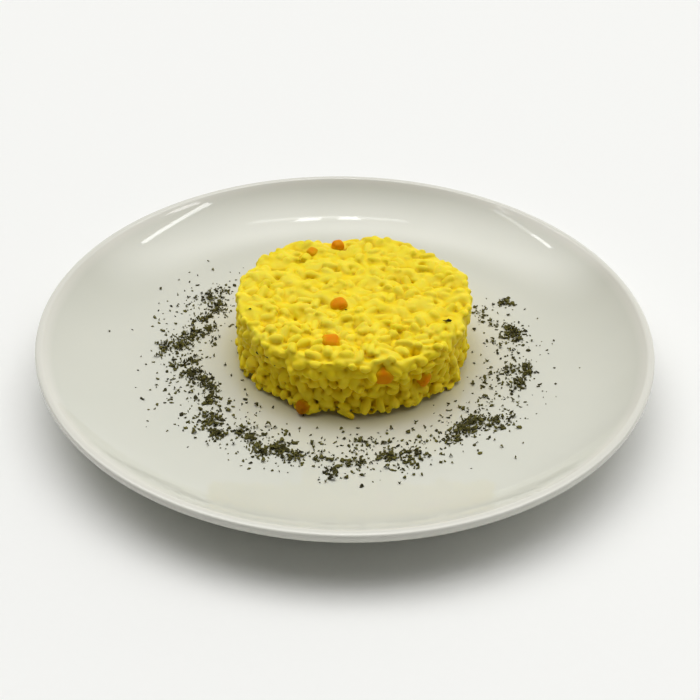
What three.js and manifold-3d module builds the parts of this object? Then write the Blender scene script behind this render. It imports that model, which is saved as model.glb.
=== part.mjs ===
// Saffron risotto, turned out of a ring mould onto a shallow rimless dinner plate.
// A ring of dried herb flakes lies round it, and seven carrot dice show in its skin.
//
// Units are millimetres and +Z is up. The origin is the middle of the plate's foot, on the
// surface that the plate stands on.
import * as THREE from "three";
import { ConvexHull } from "three/addons/math/ConvexHull.js";
import { ConvexGeometry } from "three/addons/geometries/ConvexGeometry.js";
import { mergeVertices } from "three/addons/utils/BufferGeometryUtils.js";
import Module from "manifold-3d";

// ---- Driving dimensions ----

// Plate: a level well, a wall that curves up more and more steeply, and a round lip.
const PLATE_R = 135;
const PLATE_THICK = 4.4;
const PLATE_SECTORS = 64;
const WELL_R = 65; // where the level well ends and the wall begins to rise
const WELL_Z = 6; // height of the well's upper face
const WALL_SLOPE = THREE.MathUtils.degToRad(40); // steepness of the wall at the lip
const WALL_EASE = 1.9; // how late the wall gets steep
const FOOT_R = 80; // outer radius of the foot ring
const FOOT_WIDTH = 8;
const FOOT_CLEAR = 1.8; // height of the base above the foot's standing face

// Risotto: a low round timbale, slightly oval, with a rounded shoulder.
const TIMBALE_AT = new THREE.Vector2(3, 2);
const TIMBALE_RX = 52;
const TIMBALE_RY = 51.2;
const TIMBALE_H = 29;
const SHOULDER_R = 4; // rounding where the top meets the side
const TOE_R = 1.5; // rounding where the side meets the plate
const REST_GAP = 0.3; // kept between neighbouring pieces

// Rice grains, which lie over one another as elongated bumps. Heights are shares of the
// relief, measured from the skin that the ring mould leaves.
const GRAIN_LENGTH = 6.8;
const GRAIN_WIDTH = 3.3;
const GRAIN_RELIEF = 1.8; // from the hollow between grains to a grain's crest
const CREST_MIDDLE = 0.5; // height of a grain's middle
const CREST_END = 0.3; // height of a grain's two lower points
const CREST_SPREAD = 0.1; // how unevenly the grains are bedded
const HOLLOW_DEPTH = 0.5; // depth of the hollows
const END_INSET = 1.1; // from a grain's end to its lower point
const GRAIN_TRIES = 9000;
const HOLLOW_REACH = 1.5; // least distance from a crest to the hollow beside it
const HOLLOW_SPACING = 1.8; // between the points that hold the hollows down
const HOLLOW_TRIES = 60000;
const TOE_POINTS = 90; // points round the foot of the timbale

// Carrot dice: side lengths, place on the timbale's own axes, and turn.
const DIE_CHAMFER = 0.9;
const CARROTS = [
  { name: "carrot_back", size: [5.2, 5.4, 5.8], at: [-7.9, 42.2, 26.9], turn: [0.25, 0.15, 0.4] },
  { name: "carrot_back_left", size: [5.6, 5.2, 5.6], at: [-20.0, 35.4, 26.5], turn: [0.2, 0.3, 1.1] },
  { name: "carrot_middle", size: [7.4, 6.0, 5.8], at: [-6.2, -7.6, 26.5], turn: [0.15, -0.1, 0.2] },
  { name: "carrot_front_edge", size: [7.4, 6.2, 5.8], at: [-9.2, -35.6, 26.5], turn: [0.2, 0.1, 0.1] },
  { name: "carrot_side_upper", size: [7.4, 6.4, 6.6], at: [13.1, -46.9, 19.4], turn: [0.1, 0.2, 0.25] },
  { name: "carrot_side_lower", size: [5.4, 6.0, 6.0], at: [30.5, -39.5, 12.2], turn: [0.5, 0.2, -0.6] },
  { name: "carrot_toe", size: [6.0, 5.8, 5.4], at: [-19.8, -48.8, 3.2], turn: [0.1, 0.15, 0.4] },
];

// Dried herb flakes, densest in front and at the sides, and missing behind the timbale.
const HERB_FLAKES = 140;
const HERB_RING_R = 74;
const HERB_RING_SPREAD = 8.5;
const HERB_RING_AT = new THREE.Vector2(1.6, 5);
const HERB_BACK = THREE.MathUtils.degToRad(86); // direction of the middle of the gap
const HERB_GAP = THREE.MathUtils.degToRad(46); // half the angle that holds no flakes
const HERB_FADE = THREE.MathUtils.degToRad(38); // angle over which the ring thins out
const FLAKE_LENGTH = 2.6;
const FLAKE_WIDTH = 1.7;
const FLAKE_THICK = 0.6;
const FLAKE_SINK = 0.4; // depth that a flake's root reaches into the plate
const FLAKE_CLEAR = 1.5; // least distance from a flake on the plate to the timbale
const FLAKE_SPACING = 2.9; // least distance between two flakes
const LARGEST_FLAKE = 1.25; // as a share of the stated size
const SMALLEST_FLAKE = 0.65;
const THREE_CORNERED = 0.6; // share of the flakes that have three corners, not four
const FLAKE_TAPER = 0.85; // a flake's upper corners against its root
const FLAKE_ON_TOP = {
  at: [40.2, -22.2],
  height: 0.7,
  length: 4.2,
  width: 1.8,
  sink: 1.4,
  turn: 0.3,
};

// Making of the solids.
const RANDOM_SEED = 20;
const MERGE_REACH = 0.001; // points nearer than this are one point
const SIMPLIFY_REACH = 0.01; // a joined solid's surface may move by this to lose needless edges

// ---- Helpers ----

// Repeatable random numbers from 0 to 1 (mulberry32).
function randomSource(seed) {
  let state = seed;
  return () => {
    state = (state + 0x6d2b79f5) | 0;
    let t = Math.imul(state ^ (state >>> 15), 1 | state);
    t = (t + Math.imul(t ^ (t >>> 7), 61 | t)) ^ t;
    return ((t ^ (t >>> 14)) >>> 0) / 4294967296;
  };
}

// Roughly bell-shaped random number, with a middle of 0 and a spread of about 1.
function bell(random) {
  return (random() + random() + random() + random() - 2) * Math.sqrt(3);
}

const wasm = await Module();
wasm.setup();

// A closed geometry as a manifold-3d solid.
function solidOf(geometry) {
  const bare = geometry.clone();
  bare.deleteAttribute("normal");
  bare.deleteAttribute("uv");
  const merged = mergeVertices(bare, MERGE_REACH);
  const index = merged.index.array;
  const kept = [];
  for (let i = 0; i < index.length; i += 3) {
    const [a, b, c] = [index[i], index[i + 1], index[i + 2]];
    if (a !== b && b !== c && c !== a) kept.push(a, b, c);
  }
  return new wasm.Manifold(
    new wasm.Mesh({
      numProp: 3,
      vertProperties: merged.attributes.position.array,
      triVerts: new Uint32Array(kept),
    }),
  );
}

// The largest body of a solid, without the loose scraps that a cut leaves.
function mainBody(solid) {
  return solid.decompose().reduce((a, b) => (a.volume() > b.volume() ? a : b));
}

// A manifold-3d solid as a geometry with flat faces.
function geometryOf(solid) {
  const mesh = mainBody(solid.simplify(SIMPLIFY_REACH)).getMesh();
  const indexed = new THREE.BufferGeometry();
  indexed.setAttribute("position", new THREE.BufferAttribute(mesh.vertProperties, 3));
  indexed.setIndex(new THREE.BufferAttribute(mesh.triVerts, 1));
  const flat = indexed.toNonIndexed();
  flat.computeVertexNormals();
  return flat;
}

function meshOf(name, geometry, material) {
  const mesh = new THREE.Mesh(geometry, material);
  mesh.name = name;
  return mesh;
}

// ---- Plate ----

const WALL_END_R = PLATE_R - (PLATE_THICK / 2) * (1 + Math.sin(WALL_SLOPE));

// Slope of the plate's upper face at a radius.
function plateSlope(r) {
  const along = Math.max(0, (r - WELL_R) / (WALL_END_R - WELL_R));
  return WALL_SLOPE * along ** WALL_EASE;
}

// Height of the plate's upper face at a radius: the slope summed up from the well's edge.
function plateTop(r) {
  const steps = 40;
  const stride = Math.max(0, r - WELL_R) / steps;
  let z = WELL_Z;
  for (let i = 0; i < steps; i++) z += Math.tan(plateSlope(WELL_R + (i + 0.5) * stride)) * stride;
  return z;
}

// The plate's closed half section, from the middle of the base out, over the lip and back in.
function plateSection() {
  const wallSteps = 8;
  const lipSteps = 5;
  const footIn = FOOT_R - FOOT_WIDTH;
  const footEdge = 1.2; // how far the foot's sides lean in
  const footOuterZ = 0.8 * FOOT_CLEAR; // where the foot's outer side meets the base
  const section = [
    [0, FOOT_CLEAR],
    [footIn - footEdge, FOOT_CLEAR],
    [footIn, 0],
    [FOOT_R - footEdge, 0],
    [FOOT_R, footOuterZ],
  ];
  const wall = [];
  for (let i = 0; i <= wallSteps; i++) wall.push(WELL_R + ((WALL_END_R - WELL_R) * i) / wallSteps);
  for (const r of wall.filter((_, step) => step % 2 === 0)) {
    const slope = plateSlope(r);
    const under = [r + PLATE_THICK * Math.sin(slope), plateTop(r) - PLATE_THICK * Math.cos(slope)];
    if (under[0] > FOOT_R + footEdge) section.push(under);
  }
  const lipR = PLATE_R - PLATE_THICK / 2;
  const lipZ = plateTop(WALL_END_R) - (PLATE_THICK / 2) * Math.cos(WALL_SLOPE);
  for (let i = 1; i < lipSteps; i++) {
    const turn = WALL_SLOPE - Math.PI / 2 + (Math.PI * i) / lipSteps;
    section.push([
      lipR + (PLATE_THICK / 2) * Math.cos(turn),
      lipZ + (PLATE_THICK / 2) * Math.sin(turn),
    ]);
  }
  for (const r of wall.reverse()) section.push([r, plateTop(r)]);
  section.push([0, WELL_Z]);
  return section.map(([r, z]) => new THREE.Vector2(r, z));
}

function plateSolid() {
  const geometry = new THREE.LatheGeometry(plateSection(), PLATE_SECTORS);
  geometry.rotateX(Math.PI / 2); // the lathe turns about Y, and the plate stands on Z
  return solidOf(geometry);
}

// ---- Herb flakes ----

// One crumpled flake: a thin chip of three or four corners, rooted a little below the face
// that it lies on.
function flakeGeometry(random, length, width, sink) {
  const corners = random() < THREE_CORNERED ? 3 : 4;
  const between = (least, most) => THREE.MathUtils.lerp(least, most, random());
  const points = [];
  for (let i = 0; i < corners; i++) {
    const turn = (2 * Math.PI * (i + between(0, 0.4))) / corners;
    const reach = between(0.8, 1.3);
    const x = (length / 2) * Math.cos(turn) * reach;
    const y = (width / 2) * Math.sin(turn) * reach;
    const z = FLAKE_THICK * between(0.5, 1.5);
    points.push(new THREE.Vector3(x, y, -sink));
    points.push(new THREE.Vector3(FLAKE_TAPER * x, FLAKE_TAPER * y, z));
  }
  return new ConvexGeometry(points);
}

// How much of the herb ring's full density lies in a direction.
function herbDensity(turn) {
  const away = Math.abs(Math.atan2(Math.sin(turn - HERB_BACK), Math.cos(turn - HERB_BACK)));
  return THREE.MathUtils.smoothstep(away, HERB_GAP, HERB_GAP + HERB_FADE);
}

// True where a point of the plate is under or too close to the timbale.
function nearTimbale(x, y) {
  const rx = TIMBALE_RX + GRAIN_RELIEF + FLAKE_LENGTH / 2 + FLAKE_CLEAR;
  const ry = TIMBALE_RY + GRAIN_RELIEF + FLAKE_LENGTH / 2 + FLAKE_CLEAR;
  return Math.hypot((x - TIMBALE_AT.x) / rx, (y - TIMBALE_AT.y) / ry) < 1;
}

// The flakes of the ring, the largest first, each lying on the plate and clear of the others.
function herbFlakes(random) {
  const flakes = [];
  const places = [];
  while (places.length < HERB_FLAKES) {
    const turn = 2 * Math.PI * random();
    const r = HERB_RING_R + HERB_RING_SPREAD * bell(random);
    const x = HERB_RING_AT.x + r * Math.cos(turn);
    const y = HERB_RING_AT.y + r * Math.sin(turn);
    const thinned = random() > herbDensity(turn);
    const crowded = places.some((p) => Math.hypot(p.x - x, p.y - y) < FLAKE_SPACING);
    if (thinned || crowded || nearTimbale(x, y)) continue;
    places.push({ x, y });
    const share = places.length / HERB_FLAKES;
    const grown = THREE.MathUtils.lerp(LARGEST_FLAKE, SMALLEST_FLAKE, share);
    const flake = flakeGeometry(random, FLAKE_LENGTH * grown, FLAKE_WIDTH * grown, FLAKE_SINK);
    const radius = Math.hypot(x, y);
    flake.rotateZ(Math.PI * random());
    flake.rotateX(plateSlope(radius)); // tips towards the axis, as the wall does
    flake.rotateZ(Math.atan2(y, x) + Math.PI / 2);
    flake.translate(x, y, plateTop(radius));
    flakes.push(solidOf(flake));
  }
  return flakes;
}

function plateGeometry(random) {
  return geometryOf(wasm.Manifold.union([plateSolid(), ...herbFlakes(random)]));
}

// ---- Risotto ----

const TIMBALE_R = (TIMBALE_RX + TIMBALE_RY) / 2;
const TOP_FLAT = TIMBALE_R - SHOULDER_R;
const SHOULDER_ARC = (SHOULDER_R * Math.PI) / 2;
const SIDE_FLAT = TIMBALE_H - SHOULDER_R - TOE_R;
const TOE_ARC = (TOE_R * Math.PI) / 2;
const SKIN_LENGTH = TOP_FLAT + SHOULDER_ARC + SIDE_FLAT + TOE_ARC;

// A place on the timbale's skin, by the distance walked from the middle of its top, and by the
// direction. It gives the radius, the height and the lean of the outward normal from upright.
function skinAt(walk) {
  if (walk <= TOP_FLAT) return { r: walk, z: TIMBALE_H, lean: 0 };
  const onShoulder = walk - TOP_FLAT;
  if (onShoulder <= SHOULDER_ARC) {
    const lean = onShoulder / SHOULDER_R;
    return {
      r: TOP_FLAT + SHOULDER_R * Math.sin(lean),
      z: TIMBALE_H - SHOULDER_R * (1 - Math.cos(lean)),
      lean,
    };
  }
  const onSide = onShoulder - SHOULDER_ARC;
  if (onSide <= SIDE_FLAT) {
    return { r: TIMBALE_R, z: TIMBALE_H - SHOULDER_R - onSide, lean: Math.PI / 2 };
  }
  const lean = Math.PI / 2 + (onSide - SIDE_FLAT) / TOE_R;
  return {
    r: TIMBALE_R - TOE_R * (1 - Math.sin(lean)),
    z: TOE_R * (1 + Math.cos(lean)),
    lean,
  };
}

// A skin place as a point in space, raised along the normal and spread away from the axis.
function skinPoint({ walk, turn, raise = 0, spread = 0 }) {
  const { r, z, lean } = skinAt(walk);
  const out = r + raise * Math.sin(lean) + spread;
  return new THREE.Vector3(
    out * Math.cos(turn) * (TIMBALE_RX / TIMBALE_R),
    out * Math.sin(turn) * (TIMBALE_RY / TIMBALE_R),
    Math.max(0, z + raise * Math.cos(lean)),
  );
}

// Buckets that find the points near a place quickly.
class PointCloud {
  constructor(cell) {
    this.cell = cell;
    this.buckets = new Map();
  }

  key(x, y, z) {
    return `${Math.floor(x / this.cell)},${Math.floor(y / this.cell)},${Math.floor(z / this.cell)}`;
  }

  add(p) {
    const key = this.key(p.x, p.y, p.z);
    if (!this.buckets.has(key)) this.buckets.set(key, []);
    this.buckets.get(key).push(p);
  }

  // True where a stored point is nearer than a distance, which is at most the cell's size.
  near(p, distance) {
    for (const dx of [-this.cell, 0, this.cell])
      for (const dy of [-this.cell, 0, this.cell])
        for (const dz of [-this.cell, 0, this.cell]) {
          const bucket = this.buckets.get(this.key(p.x + dx, p.y + dy, p.z + dz));
          if (bucket && bucket.some((q) => q.distanceTo(p) < distance)) return true;
        }
    return false;
  }
}

// A random skin place, spread evenly over the skin's area.
function randomPlace(random) {
  for (;;) {
    const walk = SKIN_LENGTH * random();
    if (random() * TIMBALE_R < skinAt(walk).r) return { walk, turn: 2 * Math.PI * random() };
  }
}

// The crests of the grains: each grain lies in the skin in a direction of its own, and has a
// high point in its middle and two lower ones towards its ends.
function grainCrests(random, cloud) {
  const reach = GRAIN_LENGTH / 2 - END_INSET;
  const crests = [];
  for (let i = 0; i < GRAIN_TRIES; i++) {
    const place = randomPlace(random);
    const heading = Math.PI * random();
    const lift = CREST_SPREAD * bell(random);
    const around = Math.max(skinAt(place.walk).r, GRAIN_LENGTH);
    const grain = [-1, 0, 1].map((end) => ({
      walk: place.walk + end * reach * Math.cos(heading),
      turn: place.turn + (end * reach * Math.sin(heading)) / around,
      raise: GRAIN_RELIEF * ((end === 0 ? CREST_MIDDLE : CREST_END) + lift),
    }));
    const inside = grain.every(({ walk }) => walk > 0 && walk < SKIN_LENGTH - GRAIN_WIDTH / 2);
    if (!inside) continue;
    const points = grain.map(({ walk, turn }) => skinPoint({ walk, turn }));
    if (points.some((p) => cloud.near(p, GRAIN_WIDTH))) continue;
    points.forEach((p) => cloud.add(p));
    crests.push(...grain);
  }
  return crests;
}

// The hollows between the grains, in the room that the crests leave.
function hollows(random, crests) {
  const cloud = new PointCloud(HOLLOW_SPACING);
  const found = [];
  for (let i = 0; i < HOLLOW_TRIES; i++) {
    const place = randomPlace(random);
    if (place.walk > SKIN_LENGTH - HOLLOW_SPACING / 2) continue;
    const point = skinPoint(place);
    if (crests.near(point, HOLLOW_REACH) || cloud.near(point, HOLLOW_SPACING)) continue;
    cloud.add(point);
    found.push({ ...place, raise: -HOLLOW_DEPTH * GRAIN_RELIEF });
  }
  return found;
}

// The ragged edge of the level underside, where the lowest grains stick out or fall short.
function toePoints(random) {
  const ring = [];
  for (let i = 0; i < TOE_POINTS; i++) {
    const turn = (2 * Math.PI * i) / TOE_POINTS;
    ring.push({ walk: SKIN_LENGTH, turn, spread: GRAIN_RELIEF * (random() - 0.5) });
  }
  return ring;
}

// The skin as one closed surface. The places are unrolled flat round the middle of the top and
// wrapped onto a sphere, with the middle of the underside at the far pole. The convex hull of
// that sphere of points joins each point to its neighbours, and the joins are kept when every
// point goes back to its own place.
function skinGeometry(random) {
  const cloud = new PointCloud(GRAIN_WIDTH);
  const places = [...grainCrests(random, cloud), ...hollows(random, cloud), ...toePoints(random)];
  const onSphere = places.map(({ walk, turn }) => {
    const down = 2 * Math.atan(walk / TIMBALE_R);
    return new THREE.Vector3(
      Math.sin(down) * Math.cos(turn),
      Math.sin(down) * Math.sin(turn),
      Math.cos(down),
    );
  });
  const points = places.map(skinPoint);
  onSphere.push(new THREE.Vector3(0, 0, -1));
  points.push(new THREE.Vector3(0, 0, 0));
  const pointAt = new Map(onSphere.map((p, i) => [p, points[i]]));
  const hull = new ConvexHull().setFromPoints(onSphere);
  const positions = [];
  for (const face of hull.faces) {
    let edge = face.edge;
    do {
      positions.push(...pointAt.get(edge.head().point).toArray());
      edge = edge.next;
    } while (edge !== face.edge);
  }
  const geometry = new THREE.BufferGeometry();
  geometry.setAttribute("position", new THREE.Float32BufferAttribute(positions, 3));
  return geometry;
}

// A carrot die, or the pocket round it where grown: a block with every corner cut off.
function dieGeometry({ size, at, turn }, grown = 0) {
  const [a, b, c] = size.map((side) => side / 2 + grown);
  const points = [];
  for (const sx of [-1, 1])
    for (const sy of [-1, 1])
      for (const sz of [-1, 1]) {
        points.push(new THREE.Vector3(sx * (a - DIE_CHAMFER), sy * b, sz * c));
        points.push(new THREE.Vector3(sx * a, sy * (b - DIE_CHAMFER), sz * c));
        points.push(new THREE.Vector3(sx * a, sy * b, sz * (c - DIE_CHAMFER)));
      }
  const die = new ConvexGeometry(points);
  die.applyMatrix4(new THREE.Matrix4().makeRotationFromEuler(new THREE.Euler(...turn)));
  die.translate(...at);
  return die;
}

function risottoGeometry(random) {
  const { at, height, length, width, sink, turn } = FLAKE_ON_TOP;
  const flake = flakeGeometry(random, length, width, sink);
  flake.rotateZ(turn);
  flake.translate(...at, TIMBALE_H + height);
  const pockets = CARROTS.map((carrot) => solidOf(dieGeometry(carrot, REST_GAP)));
  const whole = solidOf(skinGeometry(random)).add(solidOf(flake));
  return geometryOf(whole.subtract(wasm.Manifold.union(pockets)));
}

// ---- Materials ----

const glazedWhite = new THREE.MeshStandardMaterial({ color: 0xd9d8cc, roughness: 0.15, metalness: 0 });
const saffronRice = new THREE.MeshStandardMaterial({ color: 0xe8cc1c, roughness: 0.4, metalness: 0 });
const carrotOrange = new THREE.MeshStandardMaterial({ color: 0xe08a18, roughness: 0.45, metalness: 0 });

// ---- Assembly ----

const risotto = new THREE.Group();
risotto.position.set(TIMBALE_AT.x, TIMBALE_AT.y, WELL_Z + REST_GAP);
risotto.add(meshOf("risotto", risottoGeometry(randomSource(RANDOM_SEED)), saffronRice));
for (const carrot of CARROTS) {
  risotto.add(meshOf(carrot.name, dieGeometry(carrot), carrotOrange));
}

const serving = new THREE.Group();
serving.add(meshOf("plate", plateGeometry(randomSource(RANDOM_SEED)), glazedWhite));
serving.add(risotto);

export default serving;
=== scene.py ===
# %% [markdown]
# # Saffron risotto on a shallow plate
#
# The dish is a low round timbale of yellow risotto, turned out of a ring mould onto a rimless
# white plate. Carrot dice show in its skin, and crushed dried herbs lie round it in a loose ring.
# Every size below is in millimetres, and only the last step of making a mesh turns it into
# metres, because that is what Blender and the frame use.

# %% Load the frame
import math
import bpy
import numpy as np
from mathutils import Euler, Matrix, Vector


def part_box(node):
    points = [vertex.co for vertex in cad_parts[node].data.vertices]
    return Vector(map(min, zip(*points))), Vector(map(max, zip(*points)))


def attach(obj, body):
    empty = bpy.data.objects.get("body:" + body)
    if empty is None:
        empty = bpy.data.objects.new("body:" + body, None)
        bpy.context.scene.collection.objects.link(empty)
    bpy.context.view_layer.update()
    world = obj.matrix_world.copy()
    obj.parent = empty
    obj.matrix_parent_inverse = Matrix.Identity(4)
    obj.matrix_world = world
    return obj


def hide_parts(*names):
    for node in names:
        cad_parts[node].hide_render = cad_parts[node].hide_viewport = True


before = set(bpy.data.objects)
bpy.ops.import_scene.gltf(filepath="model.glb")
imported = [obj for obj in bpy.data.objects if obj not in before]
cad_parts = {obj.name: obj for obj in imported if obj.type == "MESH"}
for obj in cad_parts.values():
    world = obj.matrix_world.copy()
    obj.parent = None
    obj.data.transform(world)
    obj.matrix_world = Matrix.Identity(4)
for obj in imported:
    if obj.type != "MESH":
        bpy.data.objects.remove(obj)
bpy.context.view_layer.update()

MM = 0.001

# %% [markdown]
# ## From arrays to a mesh
#
# All shapes here are worked out as whole numpy arrays: points as rows of x, y, z, and faces as
# rows of point numbers. One helper puts such a pair into a mesh. It also measures the enclosed
# volume, and turns every face round if that comes out negative, so that faces point outwards.


# %% Mesh helpers
def outward(points, faces):
    """The faces, all turned round if they enclose a negative volume. The volume is the sum of
    a . (b x c) / 6 over the triangles a, b, c."""
    a, b, c = points[faces[:, 0]], points[faces[:, 1]], points[faces[:, 2]]
    volume = np.einsum("ij,ij->i", a, np.cross(b, c)).sum() / 6
    return faces[:, ::-1] if volume < 0 else faces


def mesh_of(name, points, faces):
    """A smooth-shaded mesh from points in millimetres and triangles."""
    mesh = bpy.data.meshes.new(name)
    mesh.vertices.add(len(points))
    mesh.vertices.foreach_set("co", (points * MM).astype(np.float32).ravel())
    mesh.loops.add(faces.size)
    mesh.loops.foreach_set("vertex_index", np.ascontiguousarray(faces, np.int32).ravel())
    mesh.polygons.add(len(faces))
    starts = np.arange(0, faces.size, faces.shape[1], dtype=np.int32)
    mesh.polygons.foreach_set("loop_start", starts)
    mesh.polygons.foreach_set("use_smooth", np.ones(len(faces), bool))
    mesh.update(calc_edges=True)
    mesh.validate()
    return mesh


def piece_of(name, mesh, material, slot, *nodes):
    """A finished piece that rides on the one body and stands for the named CAD nodes."""
    piece = bpy.data.objects.new(name, mesh)
    bpy.context.collection.objects.link(piece)
    mesh.materials.clear()
    mesh.materials.append(material)
    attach(piece, "root")
    if nodes:
        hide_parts(*nodes)
    print(f"{name}: {len(mesh.vertices)} points, {len(mesh.polygons)} faces")


def ball_faces(rings, sides):
    """Triangles of a closed ball of rings x sides points, followed by its first and last pole."""
    here = np.arange(rings * sides).reshape(rings, sides)
    beside = np.roll(here, -1, axis=1)
    a, b, c, d = here[:-1].ravel(), beside[:-1].ravel(), beside[1:].ravel(), here[1:].ravel()
    first, last = np.full(sides, rings * sides), np.full(sides, rings * sides + 1)
    return np.concatenate([
        np.stack([a, b, c], 1),
        np.stack([a, c, d], 1),
        np.stack([first, beside[0], here[0]], 1),
        np.stack([last, here[-1], beside[-1]], 1),
    ])


def powered(value, power):
    """A sine or cosine raised to a power with its sign kept, as in a superellipse."""
    return np.sign(value) * np.abs(value) ** power


def smooth_step(value, low, high):
    """0 below low, 1 above high, and 3 t^2 - 2 t^3 of the share t of the way between them."""
    share = np.clip((value - low) / (high - low), 0, 1)
    return share * share * (3 - 2 * share)


def set_attribute(mesh, name, values):
    """One number for each point of a mesh, which its material can read by that name."""
    layer = mesh.attributes.new(name, "FLOAT", "POINT")
    layer.data.foreach_set("value", np.asarray(values, np.float32))


# %% [markdown]
# ## Shader sums as plain Python
#
# A material is a small program, and wiring it node by node hides what it works out. `Wire`
# wraps one output socket and gives it + - and *, so that `1 - mask` adds the Math node for it.
# `Recipe.node` adds any other node: it sets the node's own settings first, and then the values
# or the links of its sockets.


# %% Shader helpers
class Wire:
    """An output socket that takes part in sums."""

    def __init__(self, recipe, socket):
        self.recipe = recipe
        self.socket = socket

    @staticmethod
    def carries_many(value):
        """Whether a wire or a plain value is a colour or a vector, and not one number."""
        if isinstance(value, Wire):
            return value.socket.type in ("VECTOR", "RGBA")
        return isinstance(value, tuple)

    def combine(self, operation, left, right):
        """The Math node, or the Vector Math node, of an operation on two wires or values."""
        many = self.carries_many(left) or self.carries_many(right)
        kind = "ShaderNodeVectorMath" if many else "ShaderNodeMath"
        return self.recipe.node(kind, {"operation": operation}, {0: left, 1: right})

    def __add__(self, other):
        return self.combine("ADD", self, other)

    __radd__ = __add__

    def __sub__(self, other):
        return self.combine("SUBTRACT", self, other)

    def __rsub__(self, other):
        return self.combine("SUBTRACT", other, self)

    def __mul__(self, other):
        return self.combine("MULTIPLY", self, other)

    __rmul__ = __mul__


class Recipe:
    """The node tree of a material or of the world, filled by sums and by named nodes."""

    def __init__(self, owner):
        owner.use_nodes = True
        self.tree = owner.node_tree
        self.tree.nodes.clear()

    def node(self, kind, settings=None, sockets=None, output=0):
        """Any node: its settings are set first, and then its sockets are filled or linked."""
        made = self.tree.nodes.new(kind)
        for name, value in (settings or {}).items():
            setattr(made, name, value)
        for name, value in (sockets or {}).items():
            if isinstance(value, Wire):
                self.tree.links.new(value.socket, made.inputs[name])
            else:
                self.fill(made.inputs[name], value)
        return Wire(self, made.outputs[output]) if len(made.outputs) else made

    @staticmethod
    def fill(socket, value):
        """A plain value put into a socket, widened to a colour or a vector if it is one."""
        if socket.type == "RGBA" and isinstance(value, tuple) and len(value) == 3:
            value = (*value, 1.0)
        if socket.type == "VECTOR" and isinstance(value, (int, float)):
            value = (value,) * 3
        socket.default_value = value

    def place(self):
        """Object coordinates in millimetres."""
        return self.node("ShaderNodeTexCoord", output="Object") * ((1 / MM,) * 3)

    def noise(self, size, detail=2.0):
        """Clouds from 0 to 1 whose lumps are about size millimetres across."""
        sockets = {"Vector": self.place(), "Scale": 1 / size, "Detail": detail}
        return self.node("ShaderNodeTexNoise", {"noise_dimensions": "3D"}, sockets)

    def attribute(self, name):
        """One of the mesh's own numbers, as set_attribute left it."""
        return self.node("ShaderNodeAttribute", {"attribute_name": name}, output="Fac")

    def between(self, value, low, high):
        """0 below low, 1 above high, and a straight line between them."""
        sockets = {"Value": value, "From Min": low, "From Max": high}
        return self.node("ShaderNodeMapRange", {"clamp": True}, sockets)

    def mix(self, first, second, share):
        """The first colour, with a share of the second."""
        sockets = {0: share, 6: first, 7: second}  # on colours the node uses these three
        return self.node("ShaderNodeMix", {"data_type": "RGBA"}, sockets, output=2)

    def bump(self, height, depth):
        """A normal bent by a height pattern, whose full range is depth millimetres."""
        return self.node("ShaderNodeBump", None, {"Height": height, "Distance": depth * MM})

    def surface(self, **sockets):
        """The finished surface, by the shader's own socket names with _ for a space."""
        named = {name.replace("_", " "): value for name, value in sockets.items()}
        shader = self.node("ShaderNodeBsdfPrincipled", None, named)
        self.node("ShaderNodeOutputMaterial", None, {"Surface": shader})


def material_of(name):
    """A new material and the recipe that fills it."""
    material = bpy.data.materials.new(name)
    return material, Recipe(material)


# %% [markdown]
# ## The form of the plate
#
# A coupe plate has no separate rim: its wall leaves the level well gently and steepens all the
# way to the lip. The upper face is therefore one formula for the slope at a radius, and its
# height is that slope summed up. The lower face lies one thickness below it, at right angles.
# The lip is rounded, but its upper outer edge is crisper, so that it catches a line of light.

# %% Plate form
PLATE_R = (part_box("plate")[1][0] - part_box("plate")[0][0]) / 2 / MM
PLATE_THICK = 4.4
WELL_R = 65.0  # where the level well ends
WELL_Z = 6.0
WALL_SLOPE = math.radians(40)  # steepness at the lip
WALL_EASE = 1.9  # how late the wall gets steep
LIP_POWER = 0.5  # how sharp the lip's upper outer edge is: 1 is round
FOOT_CLEAR = 1.8  # the base above the foot's standing face
FOOT_MID_R = 75.4
FOOT_HALF_WIDTH = 4.6
WALL_END_R = PLATE_R - PLATE_THICK / 2 * (1 + math.sin(WALL_SLOPE))
SUM_STEPS = 400  # small steps in which a slope or an area is summed up


def plate_slope(r):
    """The upper face's slope at a radius: none up to the well's edge, then WALL_SLOPE times the
    share of the way to the lip, raised to WALL_EASE."""
    return WALL_SLOPE * np.clip((r - WELL_R) / (WALL_END_R - WELL_R), 0, 1) ** WALL_EASE


def plate_top(r):
    """The upper face's height at a radius, by adding up the slope from the well outwards."""
    radii = np.linspace(WELL_R, WALL_END_R, SUM_STEPS)
    rise = np.tan(plate_slope(radii))
    steps = (rise[1:] + rise[:-1]) / 2 * np.diff(radii)
    return WELL_Z + np.interp(r, radii, np.concatenate([[0], np.cumsum(steps)]))


print("plate radius:", PLATE_R, "lip at height:", round(float(plate_top(WALL_END_R)), 2))

# %% [markdown]
# ## The plate's glaze
#
# Glazed stoneware is a clear glassy coat over a pale body: nearly white with a little green and
# grey, very smooth, and mirror-like at a low angle. Two things keep it from looking like
# plastic: the glaze lies in faint waves, and the foot, which stood on the kiln shelf, is bare
# and rough. Masks on height find the bare foot, and the lip, which is painted lighter as a
# painted highlight. Masks on the distance from the middle of the rice tint the glaze round it:
# a faint yellow film of starch, with painted yellow bounce light from the rice, and nearest to
# it painted shade as well.

# %% Where the rice stands
RICE_LOW, RICE_HIGH = (np.array(corner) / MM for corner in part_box("risotto"))
TIMBALE_AT = np.array([*(RICE_LOW + RICE_HIGH)[:2] / 2, WELL_Z])
print("rice stands at:", np.round(TIMBALE_AT, 2))

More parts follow.
